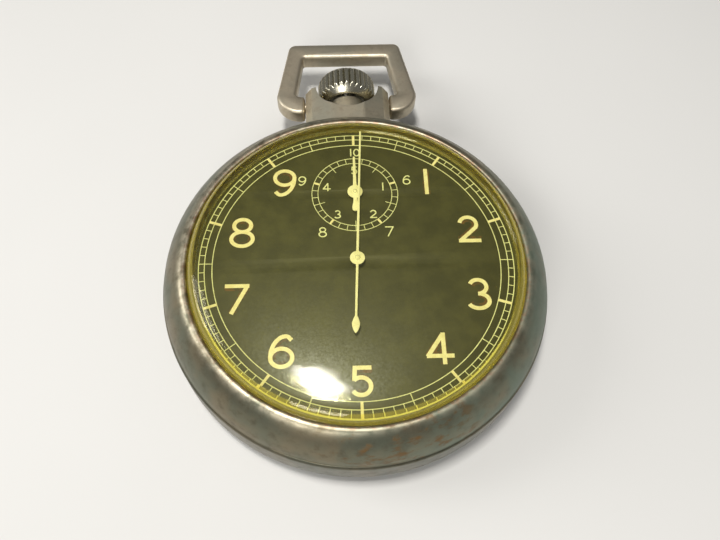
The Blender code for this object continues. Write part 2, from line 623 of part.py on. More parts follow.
def make_frame(gilt, steel):
    """The main plate, the bridges and cocks, and their screws."""
    holes = [ring(0.55, BARREL_AT), ring(0.6), ring(1.0, COLUMN_AT), ring(0.36, REGISTER_AT, FINE)]
    for place in (TRANSFER_AT, SECOND_AT, THIRD_AT, ESCAPE_AT, FORK_AT, BALANCE_AT):
        holes.append(ring(PIVOT_HOLE_R, place, FINE))
    feet = BARREL_BRIDGE_FEET + TRAIN_BRIDGE_FEET + [COCK_FOOT]
    holes += [ring(SCREW_HOLE_R, foot, FINE) for foot in feet]
    window_y = CROWN_WHEEL_AT[1] + CONTRATE_PITCH_R
    window = (window_y - 0.7, window_y + 0.7)
    holes.append([(-2.4, window[0]), (2.4, window[0]), (2.4, window[1]), (-2.4, window[1])])
    plate = solid(flat("main_plate", gilt, [ring(PLATE_R, count=ROUND)] + holes, *PLATE_Z))
    block = [[(-3.1, 17.3), (3.1, 17.3), (3.1, 20.4), (-3.1, 20.4)]]
    combine(plate, solid(flat("stem_block", None, block, 4.95, PLATE_Z[0] + 0.4)), "UNION")
    combine(plate, rod("stem_bearing", None, 0.78, 16.8, 21.2, STEM, "Y", 16), "DIFFERENCE")
    studs = [ring(STUD_R, place, FINE) for place in (LEVER_AT, BRAKE_AT)]
    combine(plate, solid(flat("lever_studs", None, studs, 6.0, PLATE_Z[0] + 0.4)), "UNION")
    stud = [ring(STUD_R, HAMMER_AT, FINE)]
    combine(plate, solid(flat("hammer_stud", None, stud, PLATE_Z[1] - 0.4, 10.8)), "UNION")

    rim = BRIDGE_R
    barrel_outline = arc(CENTRE, rim, 71, 175.5, 9)
    barrel_outline += [(-5.2, 1.6), (-4.2, 3.4), (2.6, 3.4), (3.6, 3.95), (6.6, 3.95)]
    pocket = solid(flat("crown_wheel_pocket", None, [ring(5.6, CROWN_WHEEL_AT, 20)], 3.2, 4.5))
    opening = [[(-2.8, window[0]), (2.8, window[0]), (2.8, window[1]), (-2.8, window[1])]]
    pockets = [pocket, solid(flat("pinion_window", None, opening, 3, 6))]
    centres = [(BARREL_AT, 0.95), (CROWN_WHEEL_AT, 0.5)]
    make_bridge("barrel_bridge", gilt, barrel_outline, BARREL_BRIDGE_FEET, centres, pockets)
    train_outline = arc(CENTRE, rim, -176.5, -82, 8)
    train_outline += [(3.4, -6.4), (6.8, -3.2), (8.8, 0.6), (8.8, 3.6), (3.9, 3.6)]
    train_outline += [(3.0, 3.0), (-4.0, 3.0), (-5.0, 1.2)]
    small = [(place, PIVOT_HOLE_R) for place in (SECOND_AT, THIRD_AT, ESCAPE_AT)] + [(CENTRE, 0.32)]
    make_bridge("train_bridge", gilt, train_outline, TRAIN_BRIDGE_FEET, small)
    way = math.degrees(heading(BALANCE_AT, COCK_FOOT))
    cock = arc(BALANCE_AT, 1.6, way + 75, way + 285, 8) + arc(COCK_FOOT, 2.0, way - 75, way + 75, 6)
    make_bridge("balance_cock", gilt, cock, [COCK_FOOT], [(BALANCE_AT, 0.2)])
    across = math.degrees(FORK_WAY) + 90
    first, second = FORK_COCK_FEET
    bar = arc(first, 0.7, across - 90, across + 90, 6) + arc(second, 0.7, across + 90, across + 270, 6)
    fork_cock = solid(flat("pallet_cock", gilt, [bar, ring(0.2, FORK_AT, FINE)], 6.5, 6.9))
    posts = [ring(0.6, foot, FINE) for foot in FORK_COCK_FEET]
    combine(fork_cock, solid(flat("pallet_cock_feet", None, posts, 6.7, PLATE_Z[0] - 0.05)), "UNION")

    for i, foot in enumerate(BARREL_BRIDGE_FEET):
        make_screw(f"barrel_bridge_screw_{i + 1}", steel, foot)
    for i, foot in enumerate(TRAIN_BRIDGE_FEET):
        make_screw(f"train_bridge_screw_{i + 1}", steel, foot)
    make_screw("balance_cock_screw", steel, COCK_FOOT)


def heart(facing):
    """A reset cam: a heart whose notch faces an angle."""
    points = []
    count = 20
    for i in range(count):
        share = abs(i - count / 2) / (count / 2)
        radius = 0.85 + 1.2 * (1 - share)
        points.append(from_place(CENTRE, radius, facing + math.tau * i / count))
    return points


def make_stopwork(brass, steel):
    """What counts, stops and resets: hearts, register gears, hammer, column wheel, levers."""
    flat("sweep_heart", steel, [heart(SWEEP_REST), ring(0.5, count=FINE)], *HEART_Z)
    flat("register_heart", steel, [heart(0.0), ring(0.45, count=FINE)], *HEART_Z, (*REGISTER_AT, 0))
    to_centre = heading(TRANSFER_AT, CENTRE)
    make_wheel("transfer_wheel", brass, TRANSFER_GEAR, TRANSFER_Z, TRANSFER_AT, to_centre, 0.33)
    leaves_z = (REGISTER_WHEEL_Z[0] - 0.1, REGISTER_WHEEL_Z[1] + 0.1)
    make_arbor("transfer_arbor", steel, TRANSFER_PINION, leaves_z, 8.0, [(0.2, 9.45), (0.3, 10.8)],
               TRANSFER_AT, heading(TRANSFER_AT, REGISTER_AT))
    to_transfer = heading(REGISTER_AT, TRANSFER_AT)
    make_wheel("register_wheel", brass, REGISTER_GEAR, REGISTER_WHEEL_Z, REGISTER_AT, to_transfer, 0.45)
    shaft("register_arbor", steel, 8.0, [(0.3, 9.45), (0.4, 10.85), (0.28, 12.05)], REGISTER_AT, FINE)

    hammer = [
        (5.9, -14.9), (5.9, -13.0), (5.2, -2.0), (5.4, 9.0), (6.55, 11.2), (6.55, 12.4), (3.5, 12.2),
        (3.5, 9.2), (4.2, 8.2), (4.0, 2.2), (2.85, 1.4), (2.85, -1.4), (4.0, -2.2), (4.2, -13.0),
        (4.1, -14.9),
    ]
    local = [(x - HAMMER_AT[0], y - HAMMER_AT[1]) for x, y in hammer]
    flat("reset_hammer", steel, [local, ring(STUD_HOLE_R, count=FINE)], *HEART_Z, (*HAMMER_AT, 0))

    lever = [
        (-6.0, -0.15), (-4.0, -0.15), (-1.2, 0.3), (-0.5, 0.85), (0.5, 0.85), (1.0, 0.3), (1.25, -1.5),
        (1.0, -1.9), (0.5, -1.0), (-0.6, -0.9), (-1.6, -0.75), (-6.0, -0.75),
    ]
    flat("operating_lever", steel, [lever, ring(STUD_HOLE_R, count=FINE)], *LEVER_Z, (*LEVER_AT, 0))

    saw = []
    for i in range(12):
        angle = math.radians(30 * i)
        saw += [from_place(CENTRE, 2.35, angle), from_place(CENTRE, 1.8, angle + 0.08)]
    column = solid(flat("column_wheel", steel, [saw], 6.2, 6.7, (*COLUMN_AT, 0)))
    combine(column, shaft("column_shaft", None, 5.8, [(0.8, 10.8)], COLUMN_AT, 16), "UNION")
    petals = []
    for i in range(4):
        petals += arc(CENTRE, 2.15, 90 * i - 20, 90 * i + 20, 3)
        petals.append(from_place(CENTRE, 1.15, math.radians(90 * i + 45)))
    columns = solid(flat("columns", None, [petals], 9.7, 10.75, (*COLUMN_AT, 0)))
    combine(column, columns, "UNION")

    tip = from_place(BALANCE_AT, 5.3, math.radians(30))
    way = heading(BRAKE_AT, tip)
    reach = math.dist(BRAKE_AT, tip)
    brake = [from_place(CENTRE, reach, way)]
    brake.append(from_place(brake[0], 0.8, way + math.pi / 2))
    brake.append(from_place(from_place(CENTRE, 0.8, way), 0.8, way + math.pi / 2))
    brake += [(0.9, 0.5), (0.1, 3.5), (-0.4, 7.4), (-1.2, 7.4), (-0.7, 3.5), (-0.8, -0.5)]
    brake.append(from_place(CENTRE, 1.4, way))
    flat("brake_lever", steel, [brake, ring(STUD_HOLE_R, count=FINE)], 6.25, 6.7, (*BRAKE_AT, 0))


def blade(length, half, tip):
    """The pointed end of a hand, from the hub to its tip and back."""
    return [(half, 1.2), (tip, length), (-tip, length), (-half, 1.2)]


def make_dial(black, cream):
    """The dial disc and the two hands."""
    loops = [ring(DIAL_R, count=ROUND), ring(0.7, count=16), ring(0.6, REGISTER_AT, 16)]
    flat("dial", black, loops, DIAL_TOP - DIAL_T, DIAL_TOP)
    sweep = arc(CENTRE, 0.95, -80, 80, 8) + blade(SWEEP_LENGTH, 0.17, 0.14) + arc(CENTRE, 0.95, 100, 260, 8)
    end = -SWEEP_TAIL
    sweep += [(-0.17, -1.2), (-0.17, end + 2.3), (-0.45, end + 1.7), (-0.45, end + 0.7), (0, end)]
    sweep += [(0.45, end + 0.7), (0.45, end + 1.7), (0.17, end + 2.3), (0.17, -1.2)]
    hand_z = (SWEEP_HAND_Z, SWEEP_HAND_Z + HAND_T)
    flat("sweep_hand", cream, [sweep, ring(0.35, count=FINE)], *hand_z, turn=DIAL_TURN + SWEEP_REST)
    small = arc(CENTRE, 1.0, -76, 76, 8) + blade(REGISTER_LENGTH, 0.2, 0.14) + arc(CENTRE, 1.0, 104, 256, 8)
    small += [(-0.22, -1.2), (-0.4, -2.4)] + arc((0, 0.42 - REGISTER_TAIL), 0.42, 180, 360, 6)
    small += [(0.4, -2.4), (0.22, -1.2)]
    hand_z = (REGISTER_HAND_Z, REGISTER_HAND_Z + HAND_T)
    flat("register_hand", cream, [small, ring(0.31, count=FINE)], *hand_z, (*REGISTER_AT, 0), DIAL_TURN)


def shade_round_pieces():
    """Applies each part's modifiers, welds a curve's caps, and smooths all but the crisp edges."""
    bpy.context.view_layer.update()
    reader = bpy.context.evaluated_depsgraph_get()
    parts = list(COLLECTIONS["pocket_stopwatch"].objects)
    meshes = [bpy.data.meshes.new_from_object(obj.evaluated_get(reader)) for obj in parts]
    for obj, mesh in zip(parts, meshes):
        weld = bmesh.new()
        weld.from_mesh(mesh)
        bmesh.ops.remove_doubles(weld, verts=weld.verts, dist=1e-7)
        weld.to_mesh(mesh)
        weld.free()
        mesh.shade_smooth()
        mesh.set_sharp_from_angle(angle=CRISP_ANGLE)
        name, placed = obj.name, obj.matrix_world.copy()
        bpy.data.objects.remove(obj, do_unlink=True)
        made = bpy.data.objects.new(name, mesh)
        COLLECTIONS["pocket_stopwatch"].objects.link(made)
        made.matrix_world = placed


def main():
    start_scene()
    nickel = metal("worn_nickel", (0.48, 0.45, 0.38), 0.35)
    glass = metal("aged_acrylic", (0.62, 0.56, 0.22), 0.08, 0.0, 0.9)
    steel = metal("blued_steel", (0.42, 0.44, 0.48), 0.3)
    brass = metal("brass", (0.72, 0.55, 0.26), 0.35)
    gilt = metal("gilt_plate", (0.68, 0.56, 0.34), 0.4)
    ruby = metal("ruby", (0.5, 0.05, 0.1), 0.1, 0.0)
    black = metal("dial_black", (0.03, 0.03, 0.015), 0.6, 0.0)
    cream = metal("hand_cream", (0.75, 0.7, 0.42), 0.5, 0.0)
    make_case(nickel, glass)
    make_pendant(nickel)
    make_bow(nickel)
    make_crown(nickel, steel)
    make_winding(steel)
    make_barrel(brass, steel)
    make_train(brass, steel)
    make_escapement(brass, steel, ruby)
    make_frame(gilt, steel)
    make_stopwork(brass, steel)
    make_dial(black, cream)
    shade_round_pieces()


main()
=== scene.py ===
import json
import math

import bmesh
import bpy
from mathutils import Matrix, Vector


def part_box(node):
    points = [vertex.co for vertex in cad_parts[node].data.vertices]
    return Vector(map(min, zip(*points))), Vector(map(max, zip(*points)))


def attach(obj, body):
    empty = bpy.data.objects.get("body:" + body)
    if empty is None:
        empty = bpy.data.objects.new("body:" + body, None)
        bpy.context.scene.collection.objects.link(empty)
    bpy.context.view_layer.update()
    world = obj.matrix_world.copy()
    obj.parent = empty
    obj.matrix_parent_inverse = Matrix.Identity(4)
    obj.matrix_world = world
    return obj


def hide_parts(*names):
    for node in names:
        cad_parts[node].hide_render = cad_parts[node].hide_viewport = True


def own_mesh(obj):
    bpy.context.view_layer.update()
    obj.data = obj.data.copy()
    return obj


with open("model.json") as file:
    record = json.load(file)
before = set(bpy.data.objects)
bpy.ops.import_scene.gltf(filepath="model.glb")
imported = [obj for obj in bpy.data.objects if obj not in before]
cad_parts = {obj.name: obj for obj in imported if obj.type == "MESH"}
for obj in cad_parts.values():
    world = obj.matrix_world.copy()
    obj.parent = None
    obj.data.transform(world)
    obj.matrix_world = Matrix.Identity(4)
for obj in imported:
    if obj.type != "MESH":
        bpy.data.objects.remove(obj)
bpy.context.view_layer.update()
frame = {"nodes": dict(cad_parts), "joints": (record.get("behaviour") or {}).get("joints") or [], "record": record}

# The looks of the pocket stopwatch, built around its CAD frame. Shapes are worked out in millimetres.
MM = 0.001


def middle_of(node):
    """The centre of a CAD node's box, in millimetres."""
    low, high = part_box(node)
    return (low + high) / 2 / MM


def top_of(node):
    """The top of a CAD node, in millimetres."""
    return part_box(node)[1].z / MM


def reach_of(node):
    """Half a CAD node's width, in millimetres."""
    low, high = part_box(node)
    return (high.x - low.x) / 2 / MM


STEM = middle_of("winding_stem")
DIAL_TOP = top_of("dial")
DIAL_R = reach_of("dial")
CASE_R = reach_of("case_body")
CRYSTAL_TOP = top_of("crystal")
SWEEP_AT = middle_of("sweep_arbor")
REGISTER_AT = middle_of("register_arbor")
DIAL_TURN = math.atan2(-REGISTER_AT.x, REGISTER_AT.y)
SWEEP_REST = math.radians(-2.8)
SWEEP_TURN = DIAL_TURN + SWEEP_REST
SWEEP_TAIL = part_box("sweep_hand")[0].y / MM - 0.02
SLEEVE_R = reach_of("pendant_sleeve")
PIN_Y = next(joint["pos_m"][1] for joint in frame["joints"] if joint["name"] == "bow_swing") / MM
PIN_R = 0.78
PIN_HOLE_R = 0.86
STEM_HOLE_R = 1.95
GAP = 0.08
FINE_STEPS = 240

# The dial's printing: radii of its circles, and of the register's about the register's own centre.
TRACK_OUTER = 20.45
TRACK_MIDDLE = 19.71
TRACK_INNER = 18.72
REGISTER_OUTER = 5.87
REGISTER_INNER = 5.05
DIAL_THICK = 0.4
PRINT_LIFT = 0.001

# The camera, in degrees and millimetres, at the photograph's angle.
CAMERA_AZIMUTH = -5.86
CAMERA_ELEVATION = 62.49
CAMERA_ROLL = 3.33
CAMERA_PLACE = (-4.08, -43.88, 93.67)
CAMERA_LENS = 35.93
CAMERA_SENSOR = 36.0


# ---------------------------------------------------------------- meshes

def piece(name, points, faces, body, paint, crisp=35.0):
    """A mesh piece from points in millimetres. It is smooth but for edges sharper than crisp degrees."""
    mesh = bpy.data.meshes.new(name)
    mesh.from_pydata([[value * MM for value in point] for point in points], [], faces)
    tidy = bmesh.new()
    tidy.from_mesh(mesh)
    bmesh.ops.recalc_face_normals(tidy, faces=tidy.faces)
    tidy.to_mesh(mesh)
    tidy.free()
    mesh.shade_smooth()
    mesh.set_sharp_from_angle(angle=math.radians(crisp))
    mesh.materials.append(paint)
    obj = bpy.data.objects.new(name, mesh)
    bpy.context.scene.collection.objects.link(obj)
    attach(obj, body)
    return obj


def soften(corners, size, parts=4):
    """A closed profile with each corner rounded: size is how far from the corner its curve starts."""
    made = []
    count = len(corners)
    for i, corner in enumerate(corners):
        before, after = Vector(corners[i - 1]), Vector(corners[(i + 1) % count])
        here = Vector(corner)
        start = here + (before - here).normalized() * min(size, (before - here).length * 0.45)
        end = here + (after - here).normalized() * min(size, (after - here).length * 0.45)
        for step in range(parts + 1):
            share = step / parts
            made.append(tuple(start.lerp(here, share).lerp(here.lerp(end, share), share)))
    return made


def through(points, parts=6):
    """A smooth curve through points, with parts steps between each two."""
    made = []
    padded = [points[0], *points, points[-1]]
    for i in range(1, len(padded) - 2):
        a, b, c, d = (Vector(point) for point in padded[i - 1:i + 3])
        for step in range(parts):
            t = step / parts
            made.append(tuple(0.5 * ((2 * b) + (c - a) * t + (2 * a - 5 * b + 4 * c - d) * t * t
                                     + (3 * b - a - 3 * c + d) * t * t * t)))
    made.append(tuple(points[-1]))
    return made


def turned(name, profile, body, paint, steps=180, upright=True, crisp=35.0):
    """A turned piece. The profile is (radius, height) points; a radius of 0 closes on the axis.
    An upright piece turns about +Z through the dial's centre, any other about the stem."""
    points, rings = [], []
    for radius, height in profile:
        if radius < 1e-6:
            ring = [len(points)]
            points.append((0.0, 0.0, height) if upright else (0.0, height, STEM.z))
        else:
            ring = list(range(len(points), len(points) + steps))
            for i in range(steps):
                angle = math.tau * i / steps
                x, other = radius * math.cos(angle), radius * math.sin(angle)
                points.append((x, other, height) if upright else (x, height, STEM.z + other))
        rings.append(ring)
    if profile[0][0] > 1e-6:
        rings.append(rings[0])
    faces = []
    for one, two in zip(rings, rings[1:]):
        for i in range(steps):
            j = (i + 1) % steps
            corners = [one[i % len(one)], one[j % len(one)], two[j % len(two)], two[i % len(two)]]
            face = list(dict.fromkeys(corners))
            if len(face) > 2:
                faces.append(face)
    return piece(name, points, faces, body, paint, crisp)


def flat(name, loops, low, high, body, paint, soft, at=(0.0, 0.0), turn=0.0, segments=2):
    """A flat piece: an outline with holes, thickened from low to high, its edges rounded by soft."""
    curve = bpy.data.curves.new(name, "CURVE")
    curve.dimensions = "2D"
    curve.fill_mode = "BOTH"
    curve.extrude = (high - low) / 2 * MM
    for loop in loops:
        spline = curve.splines.new("POLY")
        spline.points.add(len(loop) - 1)
        for point, (x, y) in zip(spline.points, loop):
            point.co = (x * MM, y * MM, 0.0, 1.0)
        spline.use_cyclic_u = True
    rough = bpy.data.objects.new(name + "_outline", curve)
    bpy.context.scene.collection.objects.link(rough)
    bpy.context.view_layer.update()
    mesh = bpy.data.meshes.new_from_object(rough.evaluated_get(bpy.context.evaluated_depsgraph_get()))
    bpy.data.objects.remove(rough)
    mesh.name = name
    shape = bmesh.new()
    shape.from_mesh(mesh)
    bmesh.ops.remove_doubles(shape, verts=shape.verts, dist=1e-8)
    rims = [edge for edge in shape.edges if len(edge.link_faces) == 2 and edge.calc_face_angle() > 1.2]
    bmesh.ops.bevel(shape, geom=rims, offset=soft * MM, segments=segments, affect="EDGES", profile=0.5)
    for face in shape.faces:
        face.smooth = abs(face.normal.z) < 0.999
    shape.to_mesh(mesh)
    shape.free()
    mesh.set_sharp_from_angle(angle=math.radians(35))
    mesh.materials.clear()
    mesh.materials.append(paint)
    shift = Matrix.Translation((at[0] * MM, at[1] * MM, (low + high) / 2 * MM))
    mesh.transform(shift @ Matrix.Rotation(turn, 4, "Z"))
    obj = bpy.data.objects.new(name, mesh)
    bpy.context.scene.collection.objects.link(obj)
    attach(obj, body)
    return obj


def arc(middle, radius, start, end, parts):
    """Points on an arc, from start to end in degrees."""
    made = []
    for i in range(parts + 1):
        angle = math.radians(start + (end - start) * i / parts)
        made.append((middle[0] + radius * math.cos(angle), middle[1] + radius * math.sin(angle)))
    return made


def ring(radius, middle=(0.0, 0.0), parts=48):
    """A circle's points."""
    return arc(middle, radius, 0, 360 - 360 / parts, parts - 1)


def prints(name, strokes, base, body, paint, at=(0.0, 0.0), turn=0.0):
    """Raised printing. Each stroke is (points, width, height, closed), its line midway across its width."""
    points, faces = [], []
    spin = Matrix.Rotation(turn, 2)
    for line, width, height, closed in strokes:
        count = len(line)
        first = len(points)
        for i, here in enumerate(line):
            before = line[i - 1] if closed or i else here
            after = line[(i + 1) % count] if closed or i < count - 1 else here
            way_in = (Vector(here) - Vector(before)).normalized()
            way_out = (Vector(after) - Vector(here)).normalized()
            way = (way_in + way_out).normalized()
            aside = Vector((-way.y, way.x))
            longer = max(0.4, abs(way.dot(way_out if way_out.length else way_in)))
            for side in (1, -1):
                x, y = spin @ (Vector(here) + aside * side * width / 2 / longer)
                points.append((x + at[0], y + at[1], base + height))
                points.append((x + at[0], y + at[1], base))
        spans = count if closed else count - 1
        for i in range(spans):
            a, b = first + 4 * i, first + 4 * ((i + 1) % count)
            faces += [(a, b, b + 2, a + 2), (a + 1, a, b, b + 1)]
            faces += [(a + 2, a + 3, b + 3, b + 2), (a + 1, b + 1, b + 3, a + 3)]
        if not closed:
            last = first + 4 * (count - 1)
            faces += [(first, first + 1, first + 3, first + 2), (last, last + 1, last + 3, last + 2)]
    return piece(name, points, faces, body, paint, 30.0)


# ---------------------------------------------------------------- materials

class Paint:
    """A material's nodes. Its place is the point on the object, in millimetres."""

    def __init__(self, name):
        self.material = bpy.data.materials.new(name)
        self.material.use_nodes = True
        self.tree = self.material.node_tree
        self.shader = self.tree.nodes["Principled BSDF"]
        self.out = self.tree.nodes["Material Output"]
        where = self.tree.nodes.new("ShaderNodeTexCoord").outputs["Object"]
        self.place = self.vector("MULTIPLY", where, (1000.0, 1000.0, 1000.0))

    def feed(self, socket, value):
        if isinstance(value, bpy.types.NodeSocket):
            self.tree.links.new(value, socket)
        elif hasattr(value, "__len__") and socket.type == "RGBA" and len(value) == 3:
            socket.default_value = (*value, 1.0)
        else:
            socket.default_value = value

    def node(self, kind, **settings):
        made = self.tree.nodes.new(kind)
        for key, value in settings.items():
            setattr(made, key, value)
        return made

    def vector(self, operation, one, two):
        made = self.node("ShaderNodeVectorMath", operation=operation)
        self.feed(made.inputs[0], one)
        self.feed(made.inputs[1], two)
        return made.outputs["Value" if operation in ("DOT_PRODUCT", "LENGTH") else "Vector"]

    def math(self, operation, one, two=0.0):
        made = self.node("ShaderNodeMath", operation=operation)
        self.feed(made.inputs[0], one)
        self.feed(made.inputs[1], two)
        return made.outputs[0]

    def noise(self, scale, detail=4.0, roughness=0.55, at=None, stretch=None):
        """A noise from 0 to 1, with scale features to the millimetre."""
        made = self.node("ShaderNodeTexNoise")
        where = self.vector("ADD", self.place if at is None else at, (61.37, 47.83, 29.59))
        if stretch:
            where = self.vector("MULTIPLY", where, stretch)
        self.feed(made.inputs["Vector"], where)
        self.feed(made.inputs["Scale"], scale)
        self.feed(made.inputs["Detail"], detail)
        self.feed(made.inputs["Roughness"], roughness)
        return made.outputs[0]

    def specks(self, scale, size):
        """Round specks, 1 inside and 0 outside, of size times the cell."""
        made = self.node("ShaderNodeTexVoronoi")
        self.feed(made.inputs["Vector"], self.place)
        self.feed(made.inputs["Scale"], scale)
        return self.step(made.outputs["Distance"], size, size * 0.4)

    def step(self, value, low, high):
        """Runs smoothly from 0 at low to 1 at high; low may be the larger."""
        made = self.node("ShaderNodeMapRange", interpolation_type="SMOOTHSTEP")
        self.feed(made.inputs["Value"], value)
        if low <= high:
            made.inputs["From Min"].default_value, made.inputs["From Max"].default_value = low, high
            return made.outputs[0]
        made.inputs["From Min"].default_value, made.inputs["From Max"].default_value = high, low
        made.inputs["To Min"].default_value, made.inputs["To Max"].default_value = 1.0, 0.0
        return made.outputs[0]

    def spread(self, value, low, high):
        """Maps 0 to 1 onto low to high."""
        made = self.node("ShaderNodeMapRange")
        self.feed(made.inputs["Value"], value)
        made.inputs["To Min"].default_value, made.inputs["To Max"].default_value = low, high
        return made.outputs[0]

    def mix(self, share, one, two):
        made = self.node("ShaderNodeMix", data_type="RGBA")
        self.feed(made.inputs[0], share)
        self.feed(made.inputs[6], one)
        self.feed(made.inputs[7], two)
        return made.outputs[2]

    def bump(self, height, distance, under=None):
        """Bumps of a height from 0 to 1 times distance, in millimetres."""
        made = self.node("ShaderNodeBump")
        made.inputs["Strength"].default_value = 1.0
        made.inputs["Distance"].default_value = distance * MM
        self.feed(made.inputs["Height"], height)
        if under is not None:
            self.feed(made.inputs["Normal"], under)
        return made.outputs[0]

    def radius(self):
        """Distance from the dial's axis, in millimetres."""
        return self.vector("LENGTH", self.vector("MULTIPLY", self.place, (1.0, 1.0, 0.0)), (0, 0, 0))

    def towards(self, angle):
        """The cosine of how far round from an angle in degrees a point is, seen from the dial's axis."""
        flat_way = self.node("ShaderNodeVectorMath", operation="NORMALIZE")
        self.feed(flat_way.inputs[0], self.vector("MULTIPLY", self.place, (1.0, 1.0, 0.0)))
        way = (math.cos(math.radians(angle)), math.sin(math.radians(angle)), 0.0)
        return self.vector("DOT_PRODUCT", flat_way.outputs["Vector"], way)

    def edges(self, size):
        """Where a corner is within size millimetres: 1 on a rounded edge and 0 on a plain face."""
        soft = self.node("ShaderNodeBevel", samples=6)
        soft.inputs["Radius"].default_value = size * MM
        plain = self.node("ShaderNodeNewGeometry").outputs["Normal"]
        return self.step(self.vector("DOT_PRODUCT", soft.outputs[0], plain), 0.995, 0.86)

    def finish(self, **values):
        for key, value in values.items():
            self.feed(self.shader.inputs[key.replace("_", " ")], value)
        return self.material


def worn_nickel(name, warm, cool, dark, patina=False, worn_edges=True, shine=0.33, marked=1.0, spun=False):
    """Old nickel plating: a cloudy warm and cool grey, dulled in patches, rubbed bright on its edges."""
    paint = Paint(name)
    cloud = paint.noise(0.16, 3.0)
    grime = paint.noise(0.75, 6.0, 0.62)
    fine = paint.noise(5.5, 5.0, 0.7)
    colour = paint.mix(paint.step(cloud, 0.38, 0.62), warm, cool)
    colour = paint.mix(paint.math("MULTIPLY", paint.step(grime, 0.45, 0.75), 0.5), colour, dark)
    grimed = paint.spread(grime, shine - 0.07, shine + 0.13)
    rough = paint.math("ADD", grimed, paint.spread(fine, -0.03, 0.05))
    metallic = 1.0
    if patina:
        radius = paint.radius()
        green_side = paint.step(paint.towards(-22), 0.25, 0.95)
        green = paint.math("MULTIPLY", green_side, paint.step(paint.noise(0.3, 4.0, 0.5), 0.2, 0.65))
        colour = paint.mix(paint.math("MULTIPLY", green, 0.75), colour, (0.165, 0.215, 0.165))
        # Bezel ridge: patchy bright nickel from real wear, plus a painted highlight that makes it lighter towards
        # the left side (the side factor below).
        worn_ridge = paint.step(paint.noise(0.7, 5.0), 0.3, 0.62)
        ridge = paint.math("MULTIPLY", paint.step(radius, 23.5, 22.5), worn_ridge)
        # Painted highlight: the ridge's bright nickel is mixed in more strongly towards the left side.
        painted_highlight_side = paint.spread(paint.step(paint.towards(175), -0.2, 0.7), 0.3, 0.85)
        colour = paint.mix(paint.math("MULTIPLY", ridge, painted_highlight_side), colour, (0.62, 0.56, 0.42))
        worn_lip = paint.step(paint.noise(1.8, 6.0, 0.65), 0.42, 0.62)
        lip = paint.math("MULTIPLY", paint.step(radius, 22.6, 22.15), worn_lip)
        colour = paint.mix(paint.math("MULTIPLY", lip, 0.65), colour, (0.30, 0.17, 0.11))
        rust_side = paint.step(paint.towards(-80), 0.86, 0.99)
        rust_spots = paint.step(paint.noise(0.42, 6.0, 0.6, stretch=(1.0, 1.0, 2.2)), 0.5, 0.68)
        rust = paint.math("MULTIPLY", rust_side, rust_spots)
        colour = paint.mix(paint.math("MULTIPLY", rust, 0.85), colour, (0.17, 0.085, 0.02))
        dull = paint.math("MAXIMUM", paint.math("MULTIPLY", green, 0.6), rust)
        rough = paint.math("ADD", rough, paint.math("MULTIPLY", dull, 0.16))
        metallic = paint.math("SUBTRACT", 1.0, paint.math("MULTIPLY", dull, 0.45))
    if worn_edges:
        edge = paint.math("MULTIPLY", paint.edges(0.28), paint.step(paint.noise(1.3, 4.0), 0.3, 0.62))
        colour = paint.mix(paint.math("MULTIPLY", edge, 0.6), colour, (0.56, 0.52, 0.43))
        rough = paint.math("SUBTRACT", rough, paint.math("MULTIPLY", edge, 0.1))
    scratch = paint.noise(2.0, 3.0, 0.6, stretch=(7.0, 0.5, 0.5))
    cross = paint.noise(2.0, 3.0, 0.6, stretch=(0.5, 6.0, 0.6))
    pits = paint.specks(2.6, 0.16)
    marks = paint.math("ADD", paint.math("MULTIPLY", scratch, 0.5), paint.math("MULTIPLY", cross, 0.5))
    if spun:
        across = paint.vector("MULTIPLY", (1.0, 0.0, 0.0), paint.radius())
        marks = paint.math("ADD", marks, paint.noise(5.0, 3.0, 0.6, at=across))
    normal = paint.bump(marks, 0.012 * marked)
    pitted = paint.math("SUBTRACT", fine, paint.math("MULTIPLY", pits, 0.6))
    normal = paint.bump(pitted, 0.006 * marked, under=normal)
    return paint.finish(Base_Color=colour, Roughness=rough, Metallic=metallic, Normal=normal)


def dial_lacquer():
    """Black lacquer gone olive, a little mottled, with dust and tiny flaws."""
    paint = Paint("dial_lacquer")
    mottle = paint.noise(0.35, 6.0, 0.6)
    colour = paint.mix(paint.step(mottle, 0.35, 0.7), (0.036, 0.037, 0.011), (0.060, 0.060, 0.019))
    spots = paint.math("MULTIPLY", paint.specks(1.15, 0.05), paint.step(paint.noise(0.9, 2.0), 0.5, 0.6))
    colour = paint.mix(paint.math("MULTIPLY", spots, 0.5), colour, (0.30, 0.27, 0.13))
    rough = paint.spread(mottle, 0.42, 0.6)
    normal = paint.bump(paint.noise(6.0, 4.0), 0.004)
    return paint.finish(Base_Color=colour, Roughness=rough, Metallic=0.0, Normal=normal)


def lume_stain():
    """The brown stain that old luminous paint leaves in the lacquer round it."""
    paint = Paint("lume_stain")
    age = paint.noise(0.9, 5.0, 0.65)
    colour = paint.mix(paint.step(age, 0.42, 0.62), (0.048, 0.043, 0.014), (0.13, 0.062, 0.010))
    normal = paint.bump(paint.noise(6.0, 4.0), 0.004)
    rough = paint.spread(age, 0.45, 0.6)
    return paint.finish(Base_Color=colour, Roughness=rough, Metallic=0.0, Normal=normal)


def cream_print(name, light, dark):
    """Cream printing or paint, yellowed unevenly."""
    paint = Paint(name)
    age = paint.noise(1.1, 5.0, 0.6)
    colour = paint.mix(paint.step(age, 0.35, 0.7), light, dark)
    normal = paint.bump(paint.noise(14.0, 3.0), 0.004)
    return paint.finish(Base_Color=colour, Roughness=paint.spread(age, 0.5, 0.7), Metallic=0.0, Normal=normal)


